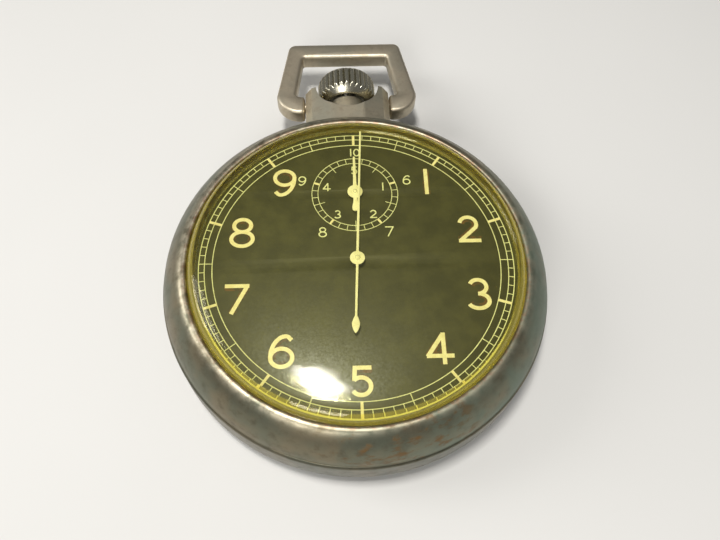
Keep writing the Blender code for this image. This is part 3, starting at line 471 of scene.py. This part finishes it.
def aged_crystal():
    """A yellowed acrylic dome: a scuffed clear window, and at its edge a thick wall that bends light."""
    paint = Paint("aged_crystal")
    tree = paint.tree
    radius = paint.radius()
    scuff = paint.noise(1.0, 6.0, 0.7)
    hair = paint.noise(1.4, 4.0, 0.6, stretch=(9.0, 0.4, 1.0))
    hairlines = paint.math("MULTIPLY", paint.step(hair, 0.6, 0.72), 0.12)
    rough = paint.math("ADD", paint.spread(scuff, 0.015, 0.09), hairlines)
    normal = paint.bump(paint.math("ADD", scuff, hair), 0.0025)
    clear = paint.node("ShaderNodeBsdfTransparent")
    clear.inputs["Color"].default_value = (0.975, 0.968, 0.835, 1.0)
    gloss = paint.node("ShaderNodeBsdfGlossy")
    gloss.inputs["Color"].default_value = (1.0, 0.98, 0.9, 1.0)
    paint.feed(gloss.inputs["Roughness"], rough)
    paint.feed(gloss.inputs["Normal"], normal)
    scuffed = paint.node("ShaderNodeBsdfGlossy")
    scuffed.inputs["Color"].default_value = (0.95, 1.0, 0.86, 1.0)
    scuffed.inputs["Roughness"].default_value = 0.3
    sheen = paint.node("ShaderNodeMixShader")
    paint.feed(sheen.inputs[0], paint.spread(paint.step(paint.noise(3.0, 6.0, 0.75), 0.4, 0.65), 0.15, 0.65))
    tree.links.new(gloss.outputs[0], sheen.inputs[1])
    tree.links.new(scuffed.outputs[0], sheen.inputs[2])
    slant = paint.node("ShaderNodeLayerWeight")
    slant.inputs["Blend"].default_value = 0.5
    paint.feed(slant.inputs["Normal"], normal)
    mirror = paint.spread(paint.math("POWER", slant.outputs["Facing"], 5.0), 0.028, 1.0)
    window = paint.node("ShaderNodeMixShader")
    paint.feed(window.inputs[0], mirror)
    tree.links.new(clear.outputs[0], window.inputs[1])
    tree.links.new(sheen.outputs[0], window.inputs[2])
    veil = paint.node("ShaderNodeBsdfDiffuse")
    veil.inputs["Color"].default_value = (0.42, 0.37, 0.12, 1.0)
    hazed = paint.node("ShaderNodeMixShader")
    paint.feed(hazed.inputs[0], paint.spread(scuff, 0.0, 0.025))
    tree.links.new(window.outputs[0], hazed.inputs[1])
    tree.links.new(veil.outputs[0], hazed.inputs[2])
    wall = paint.bump(scuff, 0.0015)
    amber = (0.86, 0.73, 0.13)
    paint.finish(Base_Color=amber, Roughness=0.05, Transmission_Weight=0.8, IOR=1.49, Normal=wall)
    whole = paint.node("ShaderNodeMixShader")
    paint.feed(whole.inputs[0], paint.step(radius, 20.72, 20.95))
    tree.links.new(hazed.outputs[0], whole.inputs[1])
    tree.links.new(paint.shader.outputs[0], whole.inputs[2])
    tree.links.new(whole.outputs[0], paint.out.inputs["Surface"])
    return paint.material


def movement_metal(name, light, dark, low, high, grain=(1.0, 1.0, 1.0), metallic=1.0):
    """Metal of the movement: a fine directional grain, a little tarnish, and small marks."""
    paint = Paint(name)
    tarnish = paint.noise(0.6, 5.0, 0.6)
    lines = paint.noise(3.0, 4.0, 0.6, stretch=grain)
    colour = paint.mix(paint.step(tarnish, 0.35, 0.7), light, dark)
    normal = paint.bump(lines, 0.008)
    rough = paint.math("ADD", paint.spread(tarnish, low, high), paint.spread(lines, -0.03, 0.03))
    return paint.finish(Base_Color=colour, Roughness=rough, Metallic=metallic, Normal=normal)


# Painted shade: the bezel's copy of the nickel is painted much darker than the other nickel pieces, standing for
# dark reflections on its slopes.
bezel_nickel_painted_dark = worn_nickel("bezel_nickel_painted_dark", (0.225, 0.195, 0.13), (0.175, 0.18, 0.13), (0.095, 0.08, 0.05),
                           patina=True, worn_edges=False, shine=0.37)
nickel_case = worn_nickel("nickel_case", (0.19, 0.17, 0.12), (0.14, 0.14, 0.105), (0.07, 0.06, 0.04))
nickel_back = worn_nickel("nickel_back", (0.27, 0.24, 0.17), (0.21, 0.21, 0.16), (0.10, 0.085, 0.055),
                          spun=True)
# Painted light: the pendant's copy of the nickel is painted much lighter than the bezel's, standing for light
# falling on the neck's facets.
pendant_nickel_painted_light = worn_nickel("pendant_nickel_painted_light", (0.64, 0.57, 0.43), (0.54, 0.51, 0.40), (0.30, 0.23, 0.15),
                             shine=0.42)
nickel_bow = worn_nickel("nickel_bow", (0.58, 0.51, 0.39), (0.50, 0.46, 0.36), (0.34, 0.28, 0.20),
                         shine=0.42)
nickel_crown = worn_nickel("nickel_crown", (0.62, 0.58, 0.45), (0.54, 0.52, 0.42), (0.30, 0.26, 0.18),
                           shine=0.22, marked=0.35)
lacquer = dial_lacquer()
stain = lume_stain()
lume = cream_print("lume_numerals", (0.94, 0.89, 0.58), (0.84, 0.77, 0.44))
fine_print = cream_print("fine_printing", (0.84, 0.88, 0.58), (0.74, 0.76, 0.46))
hand_paint = cream_print("hand_paint", (0.97, 0.95, 0.68), (0.88, 0.85, 0.54))
crystal_paint = aged_crystal()
brass = movement_metal("brushed_brass", (0.78, 0.60, 0.30), (0.62, 0.45, 0.20), 0.24, 0.4, (0.4, 5.0, 1.0))
gilt = movement_metal("gilt_plate", (0.74, 0.62, 0.38), (0.60, 0.47, 0.25), 0.34, 0.5, (1.0, 1.0, 1.0))
steel = movement_metal("polished_steel", (0.56, 0.57, 0.60), (0.42, 0.42, 0.44), 0.16, 0.3, (6.0, 0.4, 1.0))
spring = movement_metal("blued_spring", (0.13, 0.17, 0.36), (0.08, 0.10, 0.22), 0.2, 0.34, (1.0, 1.0, 6.0))
ruby = movement_metal("ruby", (0.50, 0.03, 0.07), (0.38, 0.01, 0.04), 0.06, 0.12, (1.0, 1.0, 1.0), 0.0)


# ---------------------------------------------------------------- case

def make_bezel():
    """The domed ring round the crystal, with a rolled lip at its foot and a groove for the crystal's rim."""
    outer = through([(21.86, 12.2), (22.0, 12.38), (22.3, 12.45), (22.75, 12.32), (23.3, 11.88),
                     (24.0, 11.12), (24.7, 10.1), (25.25, 8.95), (25.5, 8.1)], 5)
    lip = [(25.52, 7.9), (25.58, 7.83), (25.6, 7.74), (25.56, 7.65), (25.47, 7.61)]
    inner = [(24.4, 7.61), (24.4, 9.4), (21.86, 9.4), (21.86, 11.42), (22.33, 11.46), (22.33, 12.04),
             (21.86, 12.08)]
    bezel = turned("bezel_rim", outer + lip + inner, "case", bezel_nickel_painted_dark, FINE_STEPS)
    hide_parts("bezel")


def make_crystal():
    """The domed crystal: each point of the dome is (radius, drop from its top), down to its foot."""
    drops = [(3.0, 0.01), (8.0, 0.11), (13.0, 0.36), (17.0, 0.78), (19.6, 1.28), (20.7, 1.66), (21.3, 2.08),
             (21.62, 2.6)]
    dome = through([(radius, CRYSTAL_TOP - drop) for radius, drop in drops] + [(21.7, 11.95)], 6)
    foot = [(21.78, 11.95), (22.22, 11.93), (22.24, 11.6), (21.75, 11.56), (20.72, 11.56), (20.7, 12.1)]
    inside = through([(20.66, 12.5), (20.35, 12.85), (19.2, 13.15), (17.0, 13.48), (13.0, 13.86), (8.0, 14.1),
                      (3.0, 14.2)], 5)
    profile = [(0.0, CRYSTAL_TOP)] + dome + foot + inside + [(0.0, 14.21)]
    crystal = turned("crystal_dome", profile, "case", crystal_paint, FINE_STEPS)
    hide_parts("crystal")


def cut(obj, cutter):
    """Cuts a piece by another mesh, which is then removed."""
    step = obj.modifiers.new("cut", "BOOLEAN")
    step.operation = "DIFFERENCE"
    step.object = cutter
    bpy.context.view_layer.update()
    shape = bpy.data.meshes.new_from_object(obj.evaluated_get(bpy.context.evaluated_depsgraph_get()))
    obj.modifiers.remove(step)
    paints = list(obj.data.materials)
    obj.data = shape
    shape.materials.clear()
    for paint in paints:
        shape.materials.append(paint)
    bpy.data.objects.remove(cutter)


def bar(low, high, radius, along, at=(0.0, 0.0, 0.0), steps=64):
    """A round cutter along Y or X, or standing, from low to high."""
    shape = bmesh.new()
    bmesh.ops.create_cone(shape, cap_ends=True, segments=steps, radius1=radius * MM, radius2=radius * MM,
                          depth=(high - low) * MM)
    mesh = bpy.data.meshes.new("cutter")
    shape.to_mesh(mesh)
    shape.free()
    quarter = math.pi / 2
    turns = {"Z": Matrix.Identity(4),
             "Y": Matrix.Rotation(quarter, 4, "X"),
             "X": Matrix.Rotation(quarter, 4, "Y")}
    turn = turns[along]
    shift = {"Z": (0, 0, 1), "Y": (0, 1, 0), "X": (1, 0, 0)}[along]
    centre = Vector(at) + Vector(shift) * (low + high) / 2
    mesh.transform(Matrix.Translation(centre * MM) @ turn)
    obj = bpy.data.objects.new("cutter", mesh)
    bpy.context.scene.collection.objects.link(obj)
    return obj


def turned_cutter(profile, steps=FINE_STEPS):
    """A cutter turned about the dial's axis: (radius, height) points with both ends on the axis."""
    shape = bmesh.new()
    rings = []
    for radius, height in profile:
        row = []
        for i in range(steps if radius else 1):
            angle = math.tau * i / steps
            x, y = radius * math.cos(angle), radius * math.sin(angle)
            row.append(shape.verts.new((x * MM, y * MM, height * MM)))
        rings.append(row)
    for one, two in zip(rings, rings[1:]):
        for i in range(steps):
            j = (i + 1) % steps
            corners = [one[i % len(one)], one[j % len(one)], two[j % len(two)], two[i % len(two)]]
            shape.faces.new(list(dict.fromkeys(corners)))
    bmesh.ops.recalc_face_normals(shape, faces=shape.faces)
    mesh = bpy.data.meshes.new("cutter")
    shape.to_mesh(mesh)
    shape.free()
    obj = bpy.data.objects.new("cutter", mesh)
    bpy.context.scene.collection.objects.link(obj)
    return obj


def make_case():
    """The middle of the case, bored for the stem, and the back."""
    outline = [(25.5, 7.45), (CASE_R, 7.12), (CASE_R, 3.15), (25.55, 2.82), (24.45, 2.82), (24.45, 1.8),
               (23.5, 1.8), (23.5, 5.4), (20.9, 6.9), (20.9, 7.85), (21.8, 7.85), (21.8, 9.2), (24.2, 9.2),
               (24.2, 7.45)]
    band = turned("case_band", soften(outline, 0.14, 3), "case", nickel_case, FINE_STEPS)
    cut(band, bar(18.0, 27.0, STEM_HOLE_R, "Y", (0, 0, STEM.z)))
    band.data.shade_smooth()
    band.data.set_sharp_from_angle(angle=math.radians(35))
    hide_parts("case_body")
    edge = [(24.52, 1.62), (24.52, 2.68), (25.5, 2.68), (25.58, 2.6), (25.6, 2.45)]
    slope = through([(25.56, 2.2), (25.3, 1.75), (24.75, 1.2), (23.6, 0.6), (22.0, 0.2), (20.6, 0.03),
                     (20.0, 0.0)], 5)
    middle = [(14.0, 0.0), (8.0, 0.0), (0.0, 0.0)]
    inside = [(0.0, 1.0), (21.9, 1.0), (23.3, 1.45)]
    profile = edge + slope + middle + inside
    back = turned("back_shell", profile, "case", nickel_back, FINE_STEPS)
    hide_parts("back_cover")


def make_neck():
    """The faceted neck: a bar of eight facets, hollowed for the crown, the case and the bow's pins."""
    low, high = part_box("pendant_neck")
    half_w, half_h = high.x / MM, (high.z - low.z) / 2 / MM
    quarter = [(2.45, half_h), (5.35, 2.7), (half_w, 1.3)]
    right = quarter + [(x, -z) for x, z in quarter[::-1]]
    section = right + [(-x, z) for x, z in right[::-1]]
    near, far = 24.0, high.y / MM
    points = [(x, y, STEM.z + z) for y in (near, far) for x, z in section]
    count = len(section)
    faces = [tuple(range(count)), tuple(range(2 * count - 1, count - 1, -1))]
    for i in range(count):
        j = (i + 1) % count
        faces.append((i, j, count + j, count + i))
    neck = piece("neck_block", points, faces, "case", pendant_nickel_painted_light)
    cut(neck, bar(0.0, 13.0, 4.75, "Z", (0, 31.65, 0), 96))
    edge = [(0, 13), (22.5, 13), (23.33, 11.98), (24.07, 11.18), (24.78, 10.15), (25.32, 9.0), (25.6, 8.1),
            (25.72, 7.6), (CASE_R + GAP, 7.4), (CASE_R + GAP, -1), (0, -1)]
    cut(neck, turned_cutter(edge))
    cut(neck, bar(22.0, 33.0, SLEEVE_R + GAP, "Y", (0, 0, STEM.z)))
    cut(neck, bar(-9.0, 9.0, PIN_HOLE_R, "X", (0, PIN_Y, STEM.z), 32))
    shape = bmesh.new()
    shape.from_mesh(neck.data)
    bmesh.ops.remove_doubles(shape, verts=shape.verts, dist=1e-7)
    bmesh.ops.dissolve_limit(shape, angle_limit=math.radians(0.5), verts=shape.verts, edges=shape.edges)
    shape.to_mesh(neck.data)
    shape.free()
    soft = neck.modifiers.new("soft", "BEVEL")
    soft.width = 0.22 * MM
    soft.segments = 3
    soft.limit_method = "ANGLE"
    soft.angle_limit = math.radians(28)
    soft.harden_normals = True
    neck.data.shade_smooth()
    neck.data.set_sharp_from_angle(angle=math.radians(28))
    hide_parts("pendant_neck")
    low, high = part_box("pendant_sleeve")
    near, far = low.y / MM, high.y / MM
    tube = soften([(STEM_HOLE_R, far), (SLEEVE_R, far), (SLEEVE_R, near), (STEM_HOLE_R, near)], 0.12)
    sleeve = turned("neck_sleeve", tube, "case", pendant_nickel_painted_light, 64, upright=False)
    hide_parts("pendant_sleeve")


def make_bow():
    """The stirrup bow: its outline filled, with worn round edges, and a pin at each end."""
    low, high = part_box("bow")
    stub = 6.45
    low_y, high_y = low.y / MM, PIN_Y + 1.4
    inner_y, outer_y = 38.95, high.y / MM
    outer = [(stub, low_y)] + arc((7.25, low_y + 3.5), 3.5, -90, 0, 16)
    outer += arc((7.75, outer_y - 1.2), 1.2, 10, 90, 10)
    inner = arc((6.2, inner_y - 0.5), 0.5, 90, 10, 6) + arc((7.1, high_y + 0.65), 0.65, 0, -90, 8)
    inner.append((stub, high_y))
    left_outer = [(-x, y) for x, y in outer[::-1]]
    left_inner = [(-x, y) for x, y in inner[::-1]]
    bow = flat("bow_stirrup", [outer + left_outer + left_inner + inner], low.z / MM, high.z / MM, "bow",
               nickel_bow, 0.55, segments=4)
    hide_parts("bow")
    for side, word in ((1, "right"), (-1, "left")):
        start, end = sorted((side * 4.95, side * (stub + 0.6)))
        profile = [(0.0, start), (PIN_R - 0.12, start), (PIN_R, start + 0.12), (PIN_R, end - 0.12),
                   (PIN_R - 0.12, end), (0.0, end)]
        pin = turned("bow_pin_" + word, profile, "bow", nickel_bow, 32)
        shift = Matrix.Translation((0, PIN_Y * MM, STEM.z * MM))
        pin.data.transform(shift @ Matrix.Rotation(math.pi / 2, 4, "Y"))


def make_crown():
    """The fluted crown. Each flute runs out in a point on the smooth bevel at the near end."""
    low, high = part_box("crown")
    near, far = low.y / MM, high.y / MM
    top_r = 4.4
    flutes, per_flute = 30, 12
    envelope = through([(near, 3.25), (near + 0.12, 3.42), (near + 0.6, 3.95), (near + 1.1, 4.36),
                        (near + 1.45, 4.48), (far - 1.6, 4.5), (far - 0.95, 4.38), (far - 0.45, 4.05),
                        (far - 0.12, 3.55), (far, 3.1)], 5)
    rows = []
    for y, limit in envelope:
        row = []
        for i in range(flutes * per_flute):
            phase = (i % per_flute) / per_flute
            rib = top_r - 0.42 * (1 - abs(math.sin(math.pi * phase)) ** 0.7)
            row.append(min(limit, rib))
        rows.append((y, row))
    points = []
    count = flutes * per_flute
    for y, row in rows:
        for i, radius in enumerate(row):
            angle = math.tau * i / count
            points.append((radius * math.cos(angle), y, STEM.z + radius * math.sin(angle)))
    faces = []
    for k in range(len(rows) - 1):
        for i in range(count):
            j = (i + 1) % count
            faces.append((k * count + i, k * count + j, (k + 1) * count + j, (k + 1) * count + i))

    def close(profile, start):
        """Carries the surface on from the ring of points at start, through (radius, y) rings, to the axis."""
        ring_at = start
        for radius, y in profile:
            first = len(points)
            if radius < 1e-6:
                points.append((0.0, y, STEM.z))
                faces.extend((ring_at + i, ring_at + (i + 1) % count, first) for i in range(count))
                return
            for i in range(count):
                angle = math.tau * i / count
                points.append((radius * math.cos(angle), y, STEM.z + radius * math.sin(angle)))
            for i in range(count):
                j = (i + 1) % count
                faces.append((ring_at + i, ring_at + j, first + j, first + i))
            ring_at = first

    close([(2.6, far), (1.4, far - 0.02), (0.0, far - 0.02)], (len(rows) - 1) * count)
    close([(3.05, near), (2.95, near + 0.1), (2.9, near + 1.6), (2.8, near + 1.7), (0.74, near + 1.7),
           (0.74, near + 3.3), (0.0, near + 3.3)], 0)
    crown = piece("crown_fluted", points, faces, "crown", nickel_crown, 50.0)
    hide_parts("crown")


# ---------------------------------------------------------------- dial

def ellipse(x, y, across, up, start, end, parts=26):
    """Points on an ellipse's arc, in degrees."""
    made = []
    for i in range(parts + 1):
        angle = math.radians(start + (end - start) * i / parts)
        made.append((x + across * math.cos(angle), y + up * math.sin(angle)))
    return made


def digit_lines(digit, reach):
    """The strokes of a digit 1 tall and centred on its middle line; reach is half a stroke's width."""
    six_tail = through([(0.31, 0.36), (0.17, 0.49), (-0.03, 0.45), (-0.21, 0.27), (-0.31, 0.03),
                        (-0.335, -0.2)], 5)
    shapes = {
        "0": [(ellipse(0, 0, 0.34, 0.5, 0, 352, 44), True)],
        "1": [([(0, -0.5 - reach), (0, 0.5 + reach)], False)],
        "2": [(ellipse(-0.01, 0.2, 0.31, 0.3, 168, -28) + [(-0.33, -0.49)], False),
              ([(-0.33 - reach, -0.5), (0.35 + reach, -0.5)], False)],
        "3": [(ellipse(-0.03, 0.255, 0.27, 0.245, 155, -90), False),
              (ellipse(-0.05, -0.245, 0.34, 0.255, 90, -155), False)],
        "4": [([(0.16, -0.5 - reach), (0.16, 0.5 + reach)], False), ([(0.5, -0.27), (-0.44, -0.27)], False),
              ([(-0.41, -0.29), (0.13, 0.49)], False)],
        "5": [([(-0.24 - reach, 0.5), (0.27 + reach, 0.5)], False), ([(-0.24, 0.5), (-0.27, 0.02)], False),
              (ellipse(-0.03, -0.18, 0.34, 0.32, 138, -148), False)],
        "6": [(ellipse(0, -0.205, 0.335, 0.295, 0, 352, 44), True), (six_tail, False)],
        "7": [([(-0.36 - reach, 0.5), (0.35 + reach, 0.5)], False),
              ([(0.34, 0.47), (-0.17, -0.5 - reach)], False)],
        "8": [(ellipse(0, 0.265, 0.275, 0.235, 0, 352, 44), True),
              (ellipse(0, -0.235, 0.345, 0.265, 0, 352, 44), True)],
    }
    shapes["9"] = [([(-x, -y) for x, y in line], closed) for line, closed in shapes["6"]]
    return shapes[digit]


def number(text, x, y, tall, width, base):
    """The strokes of a number centred on a place, with the height of each a little over the last."""
    made = []
    scale = tall - width
    for k, digit in enumerate(text):
        start = x + (k - (len(text) - 1) / 2) * tall * (0.62 if "1" in text else 0.8)
        for line, closed in digit_lines(digit, width / 2 / scale):
            height = base + 0.002 * len(made)
            made.append(([(start + px * scale, y + py * scale) for px, py in line], width, height, closed))
    return made


def spokes(count, inner, outer, width, height, skip=lambda i: False):
    """Marks that point at the centre."""
    made = []
    for i in range(count):
        if not skip(i):
            angle = math.tau * i / count
            way = (math.sin(angle), math.cos(angle))
            line = [(way[0] * reach, way[1] * reach) for reach in (inner, outer)]
            made.append((line, width, height, False))
    return made


def make_dial():
    """The dial's disc and its printing: the track of tenths, the stained numerals and the register."""
    centre = (SWEEP_AT.x, SWEEP_AT.y)
    small_at = (REGISTER_AT.x, REGISTER_AT.y)
    outline = [ring(DIAL_R, parts=200), ring(0.7, parts=32), ring(0.6, small_at, 32)]
    disc = flat("dial_disc", outline, DIAL_TOP - DIAL_THICK, DIAL_TOP, "case", lacquer, 0.04)
    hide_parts("dial")

    def on_dial(name, strokes, paint, at=centre):
        prints(name, strokes, DIAL_TOP + PRINT_LIFT, "case", paint, at, DIAL_TURN)

    radii = (TRACK_OUTER, TRACK_MIDDLE, TRACK_INNER)
    on_dial("track_circles", [(ring(radius, parts=240), 0.115, 0.016, True) for radius in radii], fine_print)
    tenths = spokes(100, TRACK_MIDDLE, TRACK_OUTER, 0.10, 0.020, lambda i: i % 5 == 0)
    halves = spokes(20, TRACK_INNER, TRACK_OUTER, 0.11, 0.020, lambda i: i % 2 == 0)
    on_dial("track_ticks", tenths + halves, fine_print)
    on_dial("second_marks", spokes(10, 18.68, 20.5, 0.36, 0.026), lume)

    # The large numerals from 1 to 9: (x, y, height) of each, about the dial's centre.
    places = [(9.9, 12.45, 4.2), (15.05, 4.75, 4.15), (15.5, -4.9, 4.55), (9.7, -12.2, 4.15),
              (0.1, -16.2, 3.95), (-9.6, -12.2, 4.5), (-15.35, -5.05, 4.15), (-15.05, 4.6, 4.6),
              (-9.6, 12.45, 4.5)]
    numerals, stains = [], []
    for i, (x, y, tall) in enumerate(places):
        numerals += number(str(i + 1), x, y, tall, 0.53, 0.03)
        stains += number(str(i + 1), x, y, tall, 0.95, 0.004)
    on_dial("numeral_stains", stains, stain)
    on_dial("numerals", numerals, lume)

    radii = (REGISTER_OUTER, REGISTER_INNER)
    circles = [(ring(radius, parts=120), 0.095, 0.016, True) for radius in radii]
    on_dial("register_circles", circles, fine_print, small_at)
    thirds = spokes(30, REGISTER_INNER, REGISTER_OUTER, 0.085, 0.020, lambda i: i % 3 == 0)
    longer = spokes(10, 4.3, REGISTER_OUTER, 0.085, 0.020, lambda i: i % 2 == 0)
    on_dial("register_ticks", thirds + longer, fine_print, small_at)
    on_dial("register_marks", spokes(5, 5.03, 5.89, 0.3, 0.026), lume, small_at)
    small = []
    for value in range(1, 11):
        angle = math.tau * value / 5
        out = 3.95 if value <= 5 else (7.0 if value == 10 else 7.35)
        tall = 1.3 if value <= 5 or value == 10 else 1.55
        x, y = 1.03 * out * math.sin(angle), out * math.cos(angle) - 0.08
        small += number(str(value), x, y, tall, 0.17, 0.024)
    on_dial("register_numerals", small, fine_print, small_at)


def make_cap(name, top, body, rises):
    """The small domed cap on a hand's centre: rises are its (radius, height) points above the hand's top."""
    profile = [(radius, top + rise) for radius, rise in rises]
    return turned(name, profile, body, hand_paint, 40)


def make_hands():
    """The sweep hand and the register hand, each a blade with a round centre, a leaf tail and a cap."""
    low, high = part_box("sweep_hand")
    sweep = arc((0, 0), 0.97, -80, 80, 18)
    sweep += [(0.17, 1.1), (0.13, 20.3), (0.0, 20.36), (-0.13, 20.3), (-0.17, 1.1)]
    sweep += arc((0, 0), 0.97, 100, 260, 18) + [(-0.16, -1.1)]
    end = SWEEP_TAIL
    tail = through([(-0.15, end + 2.35), (-0.4, end + 1.75), (-0.5, end + 1.2), (-0.3, end + 0.45),
                    (0.0, end)], 5)
    sweep += tail + [(-x, y) for x, y in tail[::-1]][1:] + [(0.16, -1.1)]
    hand = flat("sweep_hand_blade", [sweep, ring(0.35, parts=32)], low.z / MM, high.z / MM, "sweep",
                hand_paint, 0.035, (SWEEP_AT.x, SWEEP_AT.y), SWEEP_TURN)
    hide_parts("sweep_hand")
    make_cap("sweep_cap", high.z / MM, "sweep",
             [(0.0, 0.14), (0.2, 0.13), (0.38, 0.06), (0.42, -0.01), (0.0, -0.01)])

    low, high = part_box("register_hand")
    small = arc((0, 0), 1.03, -74, 74, 18)
    small += [(0.24, 1.15), (0.15, 5.75), (0.0, 5.82), (-0.15, 5.75), (-0.24, 1.15)]
    small += arc((0, 0), 1.03, 106, 254, 18) + [(-0.24, -1.2)]
    tail = through([(-0.24, -1.2), (-0.3, -1.8), (-0.42, -2.4), (-0.36, -2.95), (0.0, -3.14)], 5)
    small += tail[1:] + [(-x, y) for x, y in tail[::-1]][1:]
    hand = flat("register_hand_blade", [small, ring(0.31, parts=32)], low.z / MM, high.z / MM, "register",
                hand_paint, 0.035, (REGISTER_AT.x, REGISTER_AT.y), DIAL_TURN)
    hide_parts("register_hand")
    boss = make_cap("register_cap", high.z / MM, "register",
                    [(0.0, 0.12), (0.2, 0.11), (0.36, 0.05), (0.4, -0.01), (0.0, -0.01)])
    boss.data.transform(Matrix.Translation((REGISTER_AT.x * MM, REGISTER_AT.y * MM, 0)))


# ---------------------------------------------------------------- movement

def dress(paint, *nodes):
    """Gives CAD nodes a finish."""
    for node in nodes:
        for slot in frame["nodes"][node].material_slots:
            slot.material = paint


def dress_movement():
    """Paints the CAD pieces that keep their own shape, each by its slot. The two coiled springs are blued."""
    by_slot = {"brass": brass, "gilt_plate": gilt, "steel": steel, "ruby": ruby}
    for part in frame["record"]["subparts"]:
        if part["material_slot"] in by_slot:
            dress(by_slot[part["material_slot"]], part["node"])
    dress(spring, "hairspring", "mainspring")


def make_crown_spring():
    """The coil spring under the crown's collar, which the crown presses shorter as it goes in; this mesh keeps one
    length.
    """
    low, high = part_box("crown_spring")
    wire = 0.12
    coil = (high.x - low.x) / 2 / MM - wire
    near, far = low.y / MM + wire, high.y / MM - wire
    turns, per_turn, round_wire = 3, 36, 10
    count = turns * per_turn
    points, faces = [], []
    for i in range(count + 1):
        angle = math.tau * i / per_turn
        out = Vector((math.cos(angle), 0, math.sin(angle)))
        middle = out * coil + Vector((0, near + (far - near) * i / count, STEM.z))
        for k in range(round_wire):
            turn = math.tau * k / round_wire
            points.append(tuple(middle + (out * math.cos(turn) + Vector((0, 1, 0)) * math.sin(turn)) * wire))
    for i in range(count):
        for k in range(round_wire):
            a, b = i * round_wire + k, i * round_wire + (k + 1) % round_wire
            faces.append((a, b, b + round_wire, a + round_wire))
    faces += [tuple(range(round_wire)), tuple(range(len(points) - round_wire, len(points)))]
    coil_spring = piece("collar_spring", points, faces, "case", spring)
    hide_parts("crown_spring")
    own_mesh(coil_spring)


# ---------------------------------------------------------------- stage

def area_light(name, at, aim, size, power, colour):
    """A rectangular light at a place in metres, which shines towards aim."""
    lamp = bpy.data.lights.new(name, "AREA")
    lamp.shape = "RECTANGLE"
    lamp.size, lamp.size_y = size
    lamp.energy = power
    lamp.color = colour
    obj = bpy.data.objects.new(name, lamp)
    bpy.context.scene.collection.objects.link(obj)
    obj.location = at
    obj.rotation_euler = (Vector(aim) - Vector(at)).to_track_quat("-Z", "Y").to_euler()


def make_stage():
    """A pale paper floor, a dim even surround and three soft lights."""
    floor = bpy.data.meshes.new("floor")
    floor.from_pydata([(-2, -2, 0), (2, -2, 0), (2, 2, 0), (-2, 2, 0)], [], [(0, 1, 2, 3)])
    ground = bpy.data.objects.new("floor", floor)
    bpy.context.scene.collection.objects.link(ground)
    paint = Paint("floor_paper")
    shade = paint.noise(0.02, 3.0)
    pale = paint.mix(shade, (0.66, 0.66, 0.65), (0.70, 0.70, 0.69))
    floor.materials.append(paint.finish(Base_Color=pale, Roughness=0.9))
    world = bpy.data.worlds.new("studio")
    world.use_nodes = True
    world.node_tree.nodes["Background"].inputs["Color"].default_value = (0.90, 0.90, 0.88, 1.0)
    world.node_tree.nodes["Background"].inputs["Strength"].default_value = 0.2
    bpy.context.scene.world = world
    area_light("key", (-0.043, -0.016, 0.364), (0, 0, 0.01), (0.075, 0.045), 0.95, (1.0, 0.97, 0.92))
    area_light("front", (-0.16, -0.40, 0.34), (0, 0.01, 0), (0.22, 0.2), 1.0, (1.0, 0.98, 0.95))
    area_light("left", (-0.42, 0.08, 0.27), (0, 0, 0), (0.2, 0.3), 0.9, (1.0, 0.98, 0.95))
    bpy.context.scene.view_settings.view_transform = "Standard"


def make_camera():
    azimuth = math.radians(CAMERA_AZIMUTH)
    elevation = math.radians(CAMERA_ELEVATION)
    roll = math.radians(CAMERA_ROLL)
    level = math.cos(elevation)
    back = Vector((math.sin(azimuth) * level, -math.cos(azimuth) * level, math.sin(elevation)))
    right = Vector((math.cos(azimuth), math.sin(azimuth), 0.0))
    up = back.cross(right)
    right, up = (right * math.cos(roll) + up * math.sin(roll), up * math.cos(roll) - right * math.sin(roll))
    data = bpy.data.cameras.new("camera")
    data.lens = CAMERA_LENS
    data.sensor_width = CAMERA_SENSOR
    data.clip_start = 0.005
    data.clip_end = 20.0
    camera = bpy.data.objects.new("camera", data)
    bpy.context.scene.collection.objects.link(camera)
    place = Vector(CAMERA_PLACE) * MM
    camera.matrix_world = Matrix.Translation(place) @ Matrix((right, up, back)).transposed().to_4x4()
    bpy.context.scene.camera = camera


make_camera()
make_bezel()
make_crystal()
make_case()
make_neck()
make_bow()
make_crown()
make_dial()
make_hands()
dress_movement()
make_crown_spring()
make_stage()
